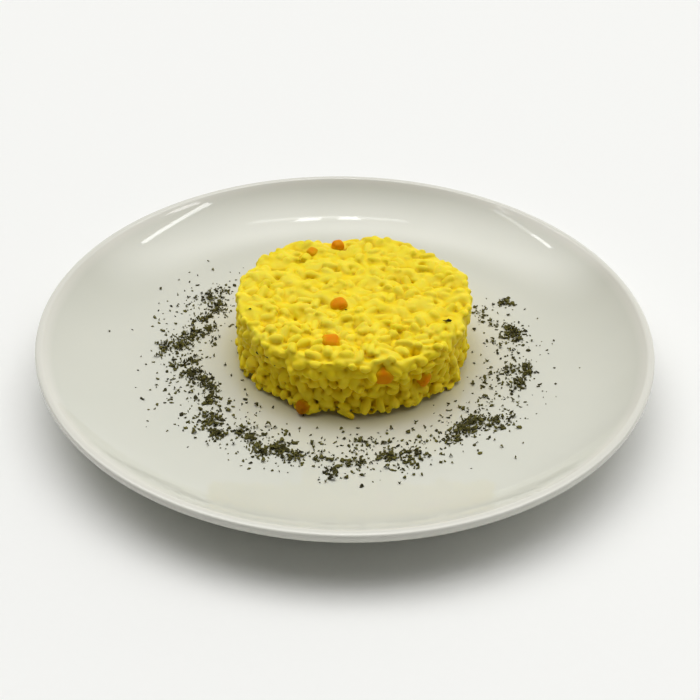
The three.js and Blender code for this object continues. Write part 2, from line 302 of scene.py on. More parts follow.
# %% Glaze
BARE_FOOT = (0.25, 0.6)  # heights where the bare foot ends and where all is glazed
LIP_PAINTED_HIGHLIGHT = (20.5, 22.5)  # heights where the painted highlight on the lip begins and where it is full
THIN_FILM_AND_BOUNCE_FADE = (62.0, 84.0)  # distances from the rice's middle between which the thin film and painted bounce light fade
THICK_FILM_SHADE_AND_BOUNCE_FADE = (53.0, 61.0)  # and the thicker one with painted shade, nearer to it
# the lip's lighter colour is a painted highlight
GLAZE, GLAZE_CLOUD, PAINTED_HIGHLIGHT_ON_LIP = (0.653, 0.658, 0.580), (0.673, 0.675, 0.598), (0.725, 0.715, 0.645)
# the tints are a starch film with painted yellow bounce light from the rice, and nearer to it painted
# shade
THIN_FILM_AND_BOUNCE_TINT, THICK_FILM_SHADE_AND_BOUNCE_TINT, NO_TINT = (1.0, 0.978, 0.925), (0.95, 0.925, 0.76), (1.0, 1.0, 1.0)
BODY, BODY_GRIT = (0.52, 0.47, 0.38), (0.62, 0.57, 0.48)


def glazed_white():
    """The glaze over the whole plate, with the bare body where the foot's mask is 1."""
    material, recipe = material_of("glazed white stoneware")
    height = recipe.node("ShaderNodeSeparateXYZ", None, {"Vector": recipe.place()}, output="Z")
    bare = 1 - recipe.between(height, *BARE_FOOT)
    cloud = recipe.between(recipe.noise(40.0), 0.3, 0.7)
    glaze = recipe.mix(GLAZE, GLAZE_CLOUD, cloud)
    # the lip painted lighter: a painted highlight
    glaze = recipe.mix(glaze, PAINTED_HIGHLIGHT_ON_LIP, recipe.between(height, *LIP_PAINTED_HIGHLIGHT))
    places = {0: recipe.place(), 1: tuple(TIMBALE_AT.tolist())}
    away = recipe.node("ShaderNodeVectorMath", {"operation": "DISTANCE"}, places, output="Value")
    # a starch film with painted yellow bounce light from the rice
    glaze = glaze * recipe.mix(THIN_FILM_AND_BOUNCE_TINT, NO_TINT, recipe.between(away, *THIN_FILM_AND_BOUNCE_FADE))
    # nearer to the rice, painted shade with more of the yellow bounce
    glaze = glaze * recipe.mix(THICK_FILM_SHADE_AND_BOUNCE_TINT, NO_TINT, recipe.between(away, *THICK_FILM_SHADE_AND_BOUNCE_FADE))
    grit = recipe.noise(0.5)
    body = recipe.mix(BODY, BODY_GRIT, grit)
    wave = recipe.noise(9.0, detail=1.0)
    recipe.surface(
        Base_Color=recipe.mix(glaze, body, bare),
        Roughness=0.035 + bare * 0.7,
        IOR=1.53,
        Normal=recipe.bump(wave + grit * bare * 2.0, 0.02),
    )
    return material


# %% [markdown]
# ## Turning the plate
#
# The plate is its half section carried round the axis, as on a potter's wheel. The section is
# short: the base, the foot as a rounded ridge, the lower face, the lip, and the upper face. The
# lip is half a circle, and its upper outer quarter is a superellipse, which is drawn out towards
# a corner. The two ends on the axis become single points, so that no hole is left.

# %% Plate
FOOT_STEPS, BASE_STEPS, WALL_STEPS, LIP_STEPS, WELL_STEPS = 19, 8, 44, 25, 8
BASE_FROM, WELL_TO = 8.0, 6.0  # radii of the innermost ring of the base and of the well
FOOT_GAP = 1.0  # between the foot and the rows of points beside it
PLATE_SIDES = 240


def plate_section():
    """Half section from the axis under the base to the axis in the well, as rows of r, z. The
    foot is a superellipse: its depth is FOOT_CLEAR times (1 - t^6)^(1/2) across its width. The
    lip is T/2 cos(turn), T/2 sin(turn) round its middle, and from level to upright both are
    raised to LIP_POWER."""
    across = np.sin(np.linspace(-math.pi / 2, math.pi / 2, FOOT_STEPS))
    foot = np.stack([
        FOOT_MID_R + FOOT_HALF_WIDTH * across,
        FOOT_CLEAR - FOOT_CLEAR * np.sqrt(1 - np.abs(across) ** 6),
    ], 1)
    base_r = np.linspace(BASE_FROM, FOOT_MID_R - FOOT_HALF_WIDTH - FOOT_GAP, BASE_STEPS)
    base = np.stack([base_r, np.full(BASE_STEPS, FOOT_CLEAR)], 1)
    upper_r = np.linspace(WELL_R, WALL_END_R, WALL_STEPS)
    slope, upper_z = plate_slope(upper_r), plate_top(upper_r)
    lower = np.stack([
        upper_r + PLATE_THICK * np.sin(slope),
        upper_z - PLATE_THICK * np.cos(slope),
    ], 1)
    lower = lower[lower[:, 0] > FOOT_MID_R + FOOT_HALF_WIDTH + FOOT_GAP][:-1]
    turn = WALL_SLOPE - math.pi / 2 + np.linspace(0, math.pi, LIP_STEPS)[:-1]
    power = np.where((turn > 0) & (turn < math.pi / 2), LIP_POWER, 1.0)
    lip_r = PLATE_R - PLATE_THICK / 2
    lip_z = upper_z[-1] - PLATE_THICK / 2 * math.cos(WALL_SLOPE)
    lip = np.stack([
        lip_r + PLATE_THICK / 2 * powered(np.cos(turn), power),
        lip_z + PLATE_THICK / 2 * powered(np.sin(turn), power),
    ], 1)
    upper = np.stack([upper_r, upper_z], 1)[::-1]
    well_r = np.linspace(WELL_R, WELL_TO, WELL_STEPS)[1:]
    well = np.stack([well_r, np.full(len(well_r), WELL_Z)], 1)
    return np.concatenate([base, foot, lower, lip, upper, well])


def turned(section, sides, first, last):
    """The section carried round: point i, j is r_i cos t_j, r_i sin t_j, z_i."""
    turn = np.linspace(0, 2 * math.pi, sides, endpoint=False)
    r, z = section[:, :1], section[:, 1:]
    rings = np.stack([r * np.cos(turn), r * np.sin(turn), z + 0 * turn], -1)
    points = np.concatenate([rings.reshape(-1, 3), [[0, 0, first], [0, 0, last]]])
    return points, outward(points, ball_faces(len(section), sides))


plate_points, plate_faces = turned(plate_section(), PLATE_SIDES, FOOT_CLEAR, WELL_Z)
plate_mesh = mesh_of("coupe_plate", plate_points, plate_faces)
piece_of("coupe_plate", plate_mesh, glazed_white(), "plate_glaze", "plate")

# %% [markdown]
# ## The form of the timbale
#
# Rice pressed into a ring keeps the ring's form: a level top, a tight shoulder and an upright
# side. Places on that skin are given as on a map: `walk` is the distance from the middle of the
# top, out over the shoulder and down the side, and `turn` is the direction. A step on the map
# is a true step on the skin, so a grain that is drawn flat on the map is bent round the
# shoulder when the map is wrapped back, just as the ring presses it.
#
# No turned-out timbale is quite true. Its rim, the lip below it and its toe swell out or fall
# in here and there, and slow lumps run over all of it. Both are added while the map is wrapped,
# so that grains, pits and starch follow them alike.

# %% Timbale form
CREST = 0.3  # by which single grains pass the mould's face
RADIUS_X, RADIUS_Y = (RICE_HIGH - RICE_LOW)[:2] / 2 - CREST
RADIUS = (RADIUS_X + RADIUS_Y) / 2
HEIGHT = 29.7
SHOULDER_R = 3.4
TOE_R = 1.5
TOP_FLAT = RADIUS - SHOULDER_R
SHOULDER_ARC = SHOULDER_R * math.pi / 2
SIDE_FLAT = HEIGHT - SHOULDER_R - TOE_R
TOE_ARC = TOE_R * math.pi / 2
SKIN_LENGTH = TOP_FLAT + SHOULDER_ARC + SIDE_FLAT + TOE_ARC


def skin_section(walk):
    """Radius, height and lean of the outward normal from upright, at a walked distance. The
    section is a straight line, a quarter circle, a straight line and a small quarter circle."""
    level = np.minimum(walk, TOP_FLAT)
    shoulder = np.clip(walk - TOP_FLAT, 0, SHOULDER_ARC) / SHOULDER_R
    side = np.clip(walk - TOP_FLAT - SHOULDER_ARC, 0, SIDE_FLAT)
    toe = np.clip(walk - TOP_FLAT - SHOULDER_ARC - SIDE_FLAT, 0, TOE_ARC) / TOE_R
    under = np.maximum(walk - SKIN_LENGTH, 0)
    r = level + SHOULDER_R * np.sin(shoulder) - TOE_R * (1 - np.cos(toe)) - under
    z = HEIGHT - SHOULDER_R * (1 - np.cos(shoulder)) - side - TOE_R * np.sin(toe)
    return r, z, shoulder + toe


# %% Swells of the edges
RIM_SWELLS = [  # direction and half width in degrees, outward and upward in mm
    (3, 8, 1.5, 0.3), (23, 8, 3.0, 0.6), (44, 10, 0.7, 0.3), (66, 9, 1.5, 0.5),
    (80, 8, 0.6, 0.5), (100, 13, -2.6, -1.3), (122, 7, 2.0, 0.7), (134, 8, 1.2, 0.5),
    (149, 12, 0.7, 0.4), (165, 7, 1.2, 0.4), (196, 12, 0.6, 0.2), (232, 16, -0.4, -0.4),
    (268, 16, -0.3, -0.3), (303, 16, -0.3, -0.5),
]
LIP_SWELLS = [
    (222, 20, 1.9, 0.0), (256, 20, 2.9, 0.0), (290, 20, 2.8, 0.0), (286, 5, -2.4, 0.0),
    (322, 16, 1.5, 0.0),
]
TOE_SWELLS = [
    (203, 14, 2.0, 0.0), (221, 8, 1.2, 0.0), (248, 10, 3.0, 0.0), (283, 8, 1.4, 0.0),
    (325, 10, 1.8, 0.0),
]
SWELLS = [  # the walked distance where each kind is full, how far it reaches, and the list
    (TOP_FLAT + SHOULDER_ARC / 2, 9.0, RIM_SWELLS),
    (TOP_FLAT + SHOULDER_ARC + 3.0, 6.0, LIP_SWELLS),
    (SKIN_LENGTH, 9.0, TOE_SWELLS),
]


def edge_swells(walk, turn):
    """How far the rim, the lip below it and the toe swell outwards and upwards at a place: the
    sum of the bumps exp(-(angle / half width)^2), fading as exp(-(distance / reach)^2)."""
    outward_sum, upward_sum = 0.0, 0.0
    for edge, reach, swells in SWELLS:
        near = np.exp(-((walk - edge) / reach) ** 2)
        for direction, half_width, outward_by, upward_by in swells:
            away = np.angle(np.exp(1j * (turn - math.radians(direction))))
            bump = near * np.exp(-(away / math.radians(half_width)) ** 2)
            outward_sum = outward_sum + outward_by * bump
            upward_sum = upward_sum + upward_by * bump
    return outward_sum, upward_sum


# %% Lumps, and from the map to space
WAVES, WAVE_SPREAD = 14, (0.6, 1.3)  # cosines that make up one swell, and how their lengths vary
LUMP_SIZE, LUMP_TOP, LUMP_FRONT, LUMP_REST = 12.0, 0.65, 0.75, 0.3
LUMP_SEED = 31
FRONT_BEGINS, FRONT_FULL = 0.1, 0.8  # of the way from the middle to the very front


def swell(points, wave, seed):
    """Smooth random waves, mostly between -1 and 1: a sum of cosines along random directions,
    each of a length near wave."""
    rng = np.random.default_rng(seed)
    ways = rng.normal(size=(WAVES, 3))
    ways *= 2 * math.pi / wave / np.linalg.norm(ways, axis=1, keepdims=True)
    ways *= rng.uniform(*WAVE_SPREAD, (WAVES, 1))
    return np.cos(points @ ways.T + rng.uniform(0, 2 * math.pi, WAVES)).sum(-1) / WAVES ** 0.5


def frontness(turn):
    """1 in front, where the mould tore the side open, and 0 at the sides and behind."""
    return smooth_step(-np.sin(turn), FRONT_BEGINS, FRONT_FULL)


def uprightness(walk):
    """0 on the top and 1 on the side, by the share of a right angle that the skin leans."""
    return np.clip(skin_section(walk)[2] / (math.pi / 2), 0, 1)


def wrap(walk, turn, raised):
    """Points in space for places on the map, raised along the outward normal. The skin itself
    is lumpy: a slow swell raises or sinks it by about LUMP_TOP on the top, LUMP_FRONT down the
    front and LUMP_REST down the other sides."""
    r, z, lean = skin_section(walk)
    wider, higher = edge_swells(walk, turn)
    even = np.stack(np.broadcast_arrays(r * np.cos(turn), r * np.sin(turn), z), -1)
    side = LUMP_REST + (LUMP_FRONT - LUMP_REST) * frontness(turn)
    lump = LUMP_TOP + (side - LUMP_TOP) * uprightness(walk)
    raised = raised + lump * swell(even, LUMP_SIZE, LUMP_SEED)
    out = r + wider * np.clip(r / RADIUS, 0, 1) + raised * np.sin(lean)
    return TIMBALE_AT + np.stack([
        out * np.cos(turn) * RADIUS_X / RADIUS,
        out * np.sin(turn) * RADIUS_Y / RADIUS,
        z + higher + raised * np.cos(lean),
    ], -1)


print("timbale across, mm:", round(2 * RADIUS_X, 1), round(2 * RADIUS_Y, 1))
print("its skin from the middle to the toe, mm:", round(SKIN_LENGTH, 1))

# %% [markdown]
# ## Rice grains
#
# A cooked risotto grain is a plump spindle, about twice as long as it is wide, a little bent
# and blunter at one end. Its surface is a function of two parameters, one along the grain and
# one round it. All the grains are worked out together: the size, the bend and the place are
# arrays with one row for each grain, and the formula runs over the whole block at once.

# %% Grain surfaces
GRAIN_LENGTH, GRAIN_WIDTH = 6.5, 4.0
GRAIN_FLAT = 0.88  # height over width, as grains are flattened against the mould
BLUNT = 0.6  # power of the sine: how blunt the ends are
LENGTH_SPREAD, WIDTH_SPREAD, FLAT_SPREAD = 0.15, 0.10, 0.05  # usual shares more or less
TAPER, BEND, DROOP = 0.12, 0.02, 0.015  # how much a usual grain tapers and bends
GRAIN_RINGS, GRAIN_SIDES = 9, 12


def grains_on_map(rng, walk, turn, heading, tilt, sink):
    """Bedded grains. Along the grain, x = -cos(s) L/2 for s from 0 to pi. The cross-section is
    an ellipse of half width w(s) = W/2 sin(s)^BLUNT (1 + taper cos(s)), flattened against the
    mould, and its middle is moved by bend (x^2 - L^2/8) sideways and downwards. The grain is
    then tipped by its tilt, and sunk until only its highest point touches the mould's face,
    and by sink more."""
    count = len(walk)
    drawn = np.clip(rng.normal(size=(6, count, 1)), -2, 2)
    length = GRAIN_LENGTH * (1 + LENGTH_SPREAD * drawn[0])
    width = GRAIN_WIDTH * (1 + WIDTH_SPREAD * drawn[1])
    taper, bend, droop = TAPER * drawn[2], BEND * drawn[3], DROOP * drawn[4]
    flat = GRAIN_FLAT + FLAT_SPREAD * drawn[5]
    s = np.linspace(0, math.pi, GRAIN_RINGS + 2)[1:-1]
    s = np.concatenate([np.repeat(s, GRAIN_SIDES), [0, math.pi]])
    round_it = np.arange(GRAIN_SIDES) * 2 * math.pi / GRAIN_SIDES
    round_it = np.concatenate([np.tile(round_it, GRAIN_RINGS), [0, 0]])
    x = -np.cos(s) * length / 2
    half = width / 2 * np.sin(s) ** BLUNT * (1 + taper * np.cos(s))
    arch = x ** 2 - length ** 2 / 8
    y = half * np.cos(round_it) + bend * arch
    h = flat * half * np.sin(round_it) + droop * arch
    return bedded(walk, turn, heading, tilt, sink, x, y, h)


def bedded(walk, turn, heading, tilt, sink, x, y, h):
    """Points given on grains' own axes, tipped, turned to their headings and wrapped on the
    skin. The highest point of a tipped grain is about the root of (L/2 sin)^2 + (H/2 cos)^2
    above its middle, where H is its height."""
    walk, turn, heading, tilt, sink = (row[:, None] for row in (walk, turn, heading, tilt, sink))
    reach = np.hypot(GRAIN_LENGTH / 2 * np.sin(tilt), GRAIN_WIDTH / 2 * GRAIN_FLAT * np.cos(tilt))
    level = x * np.cos(tilt) - h * np.sin(tilt)
    raised = x * np.sin(tilt) + h * np.cos(tilt) - reach - sink
    stretch = walk / np.maximum(skin_section(walk)[0], 1e-6)
    east = walk + level * np.cos(heading) - y * np.sin(heading)
    north = (level * np.sin(heading) + y * np.cos(heading)) * stretch
    return wrap(np.hypot(east, north), turn + np.arctan2(north, east), raised)


def joined(blocks, faces_of_one):
    """Many copies of one face pattern as a single list of points and faces."""
    count, size = blocks.shape[:2]
    faces = faces_of_one[None] + size * np.arange(count)[:, None, None]
    return blocks.reshape(-1, 3), faces.reshape(-1, faces_of_one.shape[1])


# %% [markdown]
# ## Where the grains lie
#
# The grains are dropped one after another at random places of the skin, and a grain is kept
# only if its axis stays clear of those that lie already. That gives a packed look without
# rows. The outer layer touches the mould's face, and two more fill the gaps below it. The
# carrot dice come first, so that no grain covers their faces.

# %% Dropping grains
AXIS_PLACES = np.array([-0.3, 0.0, 0.3]) * GRAIN_LENGTH  # where a grain's axis is tested


def random_places(rng, count, end):
    """Places spread evenly over the skin's area, up to a walked distance."""
    ways = np.linspace(0, end, SUM_STEPS)
    area = np.cumsum(skin_section(ways)[0])
    walk = np.interp(rng.uniform(0, area[-1], count), area, ways)
    return walk, rng.uniform(0, 2 * math.pi, count)


def axis_points(walk, turn, heading, tilt, sink):
    """Three points along each grain's axis."""
    along = np.tile(AXIS_PLACES, (len(walk), 1))
    return bedded(walk, turn, heading, tilt, sink, along, 0 * along, 0 * along)


def drop(axes, taken, spacing, batch=200):
    """Numbers of the grains that find room, tested in batches: each keeps its distance from
    what is taken and from every earlier grain of its own batch."""
    kept = []
    for start in range(0, len(axes), batch):
        these = axes[start:start + batch]
        gap = np.linalg.norm(these[:, :, None] - taken[None, None], axis=-1).min((1, 2))
        free = np.flatnonzero(gap > spacing)
        room = these[free]
        apart = np.linalg.norm(room[:, None, :, None] - room[None, :, None, :], axis=-1)
        clash = np.tril(apart.min((2, 3)) < spacing, -1).any(1)
        chosen = free[~clash]
        kept.extend(start + chosen)
        taken = np.concatenate([taken, these[chosen].reshape(-1, 3)])
    return np.array(kept), taken


# %% [markdown]
# ## Carrot dice
#
# Each die is a small block that cooking has rounded. A superellipsoid is such a block: a ball
# whose sines and cosines are raised to a power below one, so that its sides flatten and its
# corners stay round. A slow swell makes every die a little uneven, as hand-cut ones are. They
# stand in the middle of the frame's dice and keep their turn. Three of them are a little larger
# than the frame's, so that enough of their faces shows between the grains.

# %% Carrot sizes and places
CARROT_DICE = {  # side lengths, and turns about x, y and z
    "carrot_back": ((5.2, 5.4, 5.8), (0.25, 0.15, 0.4)),
    "carrot_back_left": ((5.6, 5.2, 5.6), (0.2, 0.3, 1.1)),
    "carrot_middle": ((7.8, 6.4, 6.0), (0.15, -0.1, 0.2)),
    "carrot_front_edge": ((8.0, 7.4, 6.6), (0.2, 0.1, 0.1)),
    "carrot_side_upper": ((8.2, 6.8, 7.2), (0.1, 0.2, 0.25)),
    "carrot_side_lower": ((5.4, 6.0, 6.0), (0.5, 0.2, -0.6)),
    "carrot_toe": ((6.0, 5.8, 5.4), (0.1, 0.15, 0.4)),
}
DIE_POWER = 0.66  # 1 is a ball, and 0 a block with sharp edges
DIE_SWELL, DIE_SWELL_SIZE, DIE_SEED = 0.05, 6.0, 3
DIE_RINGS, DIE_SIDES = 23, 40


def die_middle(node):
    """The middle of a node's box, in millimetres."""
    return sum(np.array(corner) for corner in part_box(node)) / 2 / MM


def die_points(node, size, turn):
    """x, y, z = half side times the powers of (cos s cos t, cos s sin t, sin s), swollen by
    about a twentieth, turned, and moved to the middle of the node. The swell is read at another
    place for each size of die, so that their shapes differ."""
    s = np.repeat(np.linspace(-math.pi / 2, math.pi / 2, DIE_RINGS + 2)[1:-1], DIE_SIDES)
    t = np.tile(np.arange(DIE_SIDES) * 2 * math.pi / DIE_SIDES, DIE_RINGS)
    s, t = np.concatenate([s, [-math.pi / 2, math.pi / 2]]), np.concatenate([t, [0, 0]])
    cos_s, cos_t = powered(np.cos(s), DIE_POWER), powered(np.cos(t), DIE_POWER)
    sin_s, sin_t = powered(np.sin(s), DIE_POWER), powered(np.sin(t), DIE_POWER)
    die = np.stack([cos_s * cos_t, cos_s * sin_t, sin_s], -1) * np.array(size) / 2
    die *= 1 + DIE_SWELL * swell(die + 10 * sum(size), DIE_SWELL_SIZE, DIE_SEED)[:, None]
    turned_die = die @ np.array(Euler(turn, "ZYX").to_matrix()).T
    return turned_die + die_middle(node)


DIE_FACES = ball_faces(DIE_RINGS, DIE_SIDES)
dice = {node: die_points(node, size, turn) for node, (size, turn) in CARROT_DICE.items()}
for node, points in dice.items():
    print(node, "middle:", np.round(points.mean(0), 1))

# %% [markdown]
# ## Packing the timbale
#
# The outer grains are dropped first. All of them lean a little, and those down the front lean
# more, because the mould tore at them when it was lifted. In the lowest rows, which nothing
# pressed, their lower ends stick out. Two more layers fill what is left: the second lies close
# under the first, and the third is sunk by more than a third of a grain. Grains keep away from
# the pits, which are small holes where a grain has come off or where none lay.

# %% Pits
TOP_PITS = [  # x, y, half width and depth
    (25.8, -39.0, 1.9, 3.6), (-21.3, -19.8, 1.5, 3.0), (2.7, -33.5, 1.5, 3.0), (-25.9, -6.1, 1.7, 2.8),
    (-34.1, 12.2, 1.7, 2.6), (30.8, 26.2, 1.5, 2.6), (26.2, 13.2, 1.2, 2.2), (-27.7, -39.7, 1.3, 2.8),
    (12.5, 8.5, 1.2, 2.0), (-8.0, 20.0, 1.4, 2.0), (36.0, -4.0, 1.2, 2.0), (-36.5, -24.5, 1.2, 2.4),
]
SIDE_PITS = [  # direction in degrees, height, half width and depth
    (-66.7, 27.2, 1.1, 2.6), (-36.6, 21.2, 1.0, 2.6), (-49.0, 7.5, 1.2, 2.8), (-140.4, 20.4, 0.9, 2.2),
    (-104, 22.5, 1.1, 2.2), (-84, 18.5, 1.1, 2.4), (-58, 12.0, 1.2, 2.6), (-118, 9.0, 1.2, 2.4),
]
SMALL_PITS, SMALL_PIT_WIDTHS, SMALL_PIT_DEPTHS = 30, (0.6, 1.0), (0.8, 1.8)
PIT_SEED = 7


def walk_down_to(z):
    """The walked distance to a height on the upright side."""
    return TOP_FLAT + SHOULDER_ARC + (HEIGHT - SHOULDER_R - z)


def pit_list(rng):
    """The pits' places half a grain below the skin and on it, their half widths and depths."""
    top, side = np.array(TOP_PITS), np.array(SIDE_PITS)
    walk, turn = random_places(rng, SMALL_PITS, SKIN_LENGTH)
    walk = np.concatenate([np.hypot(top[:, 0], top[:, 1]), walk_down_to(side[:, 1]), walk])
    turn = np.concatenate([np.arctan2(top[:, 1], top[:, 0]), np.radians(side[:, 0]), turn])
    width = np.concatenate([top[:, 2], side[:, 2], rng.uniform(*SMALL_PIT_WIDTHS, SMALL_PITS)])
    depth = np.concatenate([top[:, 3], side[:, 3], rng.uniform(*SMALL_PIT_DEPTHS, SMALL_PITS)])
    return wrap(walk, turn, -GRAIN_WIDTH / 2), wrap(walk, turn, 0), width, depth


pit_middle, pit_skin, pit_width, pit_depth = pit_list(np.random.default_rng(PIT_SEED))
print("pits:", len(pit_middle))

# %% Pack the grains
GRAIN_SEED = 11
GRAINS_TRIED = 16000  # places tried for each layer
LAYERS = [(2.9, 0.0, 1.2), (2.4, 0.2, 1.5), (2.1, 1.4, 1.4)]  # spacing, least sink, sink spread
LEAN, LEAN_FRONT, LEAN_LOW = 16, 12, 32  # in degrees: usual, more down the front, lowest rows
LOW_ROWS, LOW_FADE = 9, 6  # above the toe's end, and the distance in which they take hold
STICK_OUT, STICK_OUT_REST = 2.8, 0.4  # of the lowest grains, and the share of it behind
ROUGH_FROM, ROUGH_FULL = 8, 35  # walked distances between which the front gets rough
RAGGED_REACH = 4  # of the ragged rim in front
UNEVEN = 0.4  # how much more a grain's sink spreads where it is rough or ragged
PIT_CLEARANCE = 1.3  # from a pit's half width to a grain's axis
LOWEST_AXIS = 1.5  # a grain's axis above the plate
DICE_CLEARANCE = {  # from a die's middle to a grain's axis
    "carrot_back": 3.2, "carrot_back_left": 2.6, "carrot_middle": 3.8, "carrot_front_edge": 4.4,
    "carrot_side_upper": 4.3, "carrot_side_lower": 2.0, "carrot_toe": 2.0,
}


def front_roughness(walk, turn):
    """0 behind and in the middle of the top, rising to 1 towards the rim and down the front."""
    return frontness(turn) * smooth_step(walk, ROUGH_FROM, ROUGH_FULL)


def nearest(points, places, spare):
    """The least distance from points to places, less what each place keeps spare."""
    return (np.linalg.norm(points[:, None] - places[None], axis=-1) - spare).min(1)


def packed_layer(rng, count, spacing, taken, sink, sink_spread):
    """One layer of grains as (walk, turn, heading, tilt, sink), with the points it takes."""
    walk, turn = random_places(rng, count, SKIN_LENGTH)
    heading = rng.uniform(0, 2 * math.pi, count)
    front = frontness(turn)
    tilt = rng.normal(size=count) * np.radians(LEAN + LEAN_FRONT * uprightness(walk) * front)
    low_rows = np.clip((walk - SKIN_LENGTH + LOW_ROWS) / LOW_FADE, 0, 1)
    tilt += low_rows * np.radians(LEAN_LOW) * np.cos(heading)
    sticking_out = STICK_OUT_REST + (1 - STICK_OUT_REST) * front
    loose = low_rows * rng.uniform(0, 1, count) ** 2 * sticking_out
    ragged = np.exp(-((walk - TOP_FLAT - SHOULDER_ARC / 2) / RAGGED_REACH) ** 2) * front
    spread = sink_spread * (1 + UNEVEN * front_roughness(walk, turn) + UNEVEN * ragged)
    sunk = sink + spread * rng.uniform(0, 1, count) - STICK_OUT * loose
    axes = axis_points(walk, turn, heading, tilt, sunk)
    ends = axes.reshape(-1, 3)
    dice_middles = np.array([die_middle(node) for node in CARROT_DICE])
    dice_spare = np.array([DICE_CLEARANCE[node] for node in CARROT_DICE])
    clear = nearest(ends, dice_middles, dice_spare) > 0
    clear &= nearest(ends, pit_middle, PIT_CLEARANCE + pit_width) > 0
    clear &= ends[:, 2] > WELL_Z + LOWEST_AXIS
    allowed = np.flatnonzero(clear.reshape(axes.shape[:2]).all(1))
    kept, taken = drop(axes[allowed], taken, spacing)
    chosen = allowed[kept]
    return [row[chosen] for row in (walk, turn, heading, tilt, sunk)], taken


grain_rng = np.random.default_rng(GRAIN_SEED)
taken = np.full((1, 3), 1e3)  # one point far away, as nothing is taken yet
layers = []
for spacing, sink, sink_spread in LAYERS:
    layer, taken = packed_layer(grain_rng, GRAINS_TRIED, spacing, taken, sink, sink_spread)
    layers.append(layer)
print("grains in each layer:", [len(layer[0]) for layer in layers])

# %% [markdown]
# ## One creamy mass
#
# Starch glues the grains together, so their surface runs on from grain to grain with a small
# fillet in each joint. The grains and a core of starch are first put into one mesh in which
# they simply overlap. The core's depth decides how far the grains stand free: it lies shallow
# on the top, deeper down the front, and deepest in the pits. A voxel remesh then keeps only the
# common outer skin, and a smoothing that is stronger in patches of the top than on the side
# melts the joints as the spoon and the starch do.

# %% Core and remesh
CREAM_RINGS, CREAM_SIDES = 200, 400
CREAM_FROM = 0.4  # walked distance of the innermost ring
TOE_UNDERCUT = 2.6
CREAM_LEAST, CREAM_MOST = 1.1, 3.4  # how deep the starch lies between the grains
CREAM_LUMP, CREAM_LUMP_SIZE, CREAM_SEED = 0.35, 6, 8
BARE_TOP, BARE_RIM, BARE_SIDE, BARE_FRONT = 0.25, 0.45, 0.15, 0.4  # shares that add up
BARE_PATCH, BARE_PATCH_SIZE, BARE_SEED = 0.2, 12, 5
VOXEL = 0.42


def bareness(walk, turn, places):
    """How far the grains stand free of the starch, from 0 to 1: little on the smoothed top and
    more down the side, most of all in front, with patches of more and less everywhere."""
    down = np.clip((walk - TOP_FLAT) / (SKIN_LENGTH - TOP_FLAT), 0, 1)
    patches = BARE_PATCH * swell(places, BARE_PATCH_SIZE, BARE_SEED)
    toward_rim = BARE_RIM * front_roughness(walk, turn)
    down_side = down * (BARE_SIDE + BARE_FRONT * frontness(turn))
    return np.clip(BARE_TOP + patches + toward_rim + down_side, 0, 1)


def cream_core():
    """A closed skin inside the grains: the map's rings wrapped back at the depth of the starch.
    Each pit adds depth times exp(-(distance / half width)^2), and the toe is undercut."""
    walk = np.repeat(np.linspace(CREAM_FROM, SKIN_LENGTH - TOE_ARC, CREAM_RINGS - 1), CREAM_SIDES)
    turn = np.tile(np.arange(CREAM_SIDES) * 2 * math.pi / CREAM_SIDES, CREAM_RINGS - 1)
    places = wrap(walk, turn, 0)
    depth = CREAM_LEAST + (CREAM_MOST - CREAM_LEAST) * bareness(walk, turn, places)
    depth += CREAM_LUMP * swell(places, CREAM_LUMP_SIZE, CREAM_SEED)
    for middle, width, deep in zip(pit_skin, pit_width, pit_depth):
        depth += deep * np.exp(-((places - middle) ** 2).sum(-1) / width ** 2)
    depth += TOE_UNDERCUT * smooth_step(walk, SKIN_LENGTH - LOW_ROWS, SKIN_LENGTH - TOE_ARC)
    points = wrap(walk, turn, -depth)
    foot = points[-CREAM_SIDES:] * [1, 1, 0] + [0, 0, WELL_Z]
    middle = TIMBALE_AT + np.array([[0, 0, HEIGHT - CREAM_LEAST], [0, 0, 0]])
    points = np.concatenate([points, foot, middle])
    return points, ball_faces(CREAM_RINGS, CREAM_SIDES)


def applied(mesh, kind, **settings):
    """A mesh after one modifier."""
    holder = bpy.data.objects.new("holder", mesh)
    bpy.context.collection.objects.link(holder)
    modifier = holder.modifiers.new(kind, kind)
    for name, value in settings.items():
        setattr(modifier, name, value)
    evaluated = holder.evaluated_get(bpy.context.evaluated_depsgraph_get())
    result = bpy.data.meshes.new_from_object(evaluated)
    bpy.data.objects.remove(holder)
    bpy.data.meshes.remove(mesh)
    return result


def read(items, what, width, kind):
    """A whole column of a mesh, such as every point's place."""
    values = np.empty(len(items) * width, kind)
    items.foreach_get(what, values)
    return values.reshape(-1, width) if width > 1 else values


def neighbour_mean(values, edges):
    """Each point's average over the points that edges join it to."""
    ends = np.concatenate([edges[:, 0], edges[:, 1]])
    others = np.concatenate([edges[:, 1], edges[:, 0]])
    number = np.bincount(ends, minlength=len(values))[:, None]
    sums = np.stack([np.bincount(ends, column[others], len(values)) for column in values.T], 1)
    return sums / np.maximum(number, 1)


def outer_shell(mesh):
    """The mesh without the shells of bubbles closed in by the grains. Each point takes the
    lowest number in its neighbourhood until nothing changes, which numbers the shells."""
    edges = read(mesh.edges, "vertices", 2, np.int32)
    label = np.arange(len(mesh.vertices))
    while True:
        before = label.copy()
        lowest = np.minimum(label[edges[:, 0]], label[edges[:, 1]])
        np.minimum.at(label, edges[:, 0], lowest)
        np.minimum.at(label, edges[:, 1], lowest)
        label = label[label]
        if (label == before).all():
            break
    keep = label == np.bincount(label).argmax()
    number = np.cumsum(keep) - 1
    corners = read(mesh.loops, "vertex_index", 1, np.int32).reshape(-1, 4)
    quads = number[corners[keep[corners[:, 0]]]]
    points = read(mesh.vertices, "co", 3, np.float32)[keep] / MM
    triangles = np.concatenate([quads[:, [0, 1, 2]], quads[:, [0, 2, 3]]])
    bpy.data.meshes.remove(mesh)
    return points.astype(float), triangles


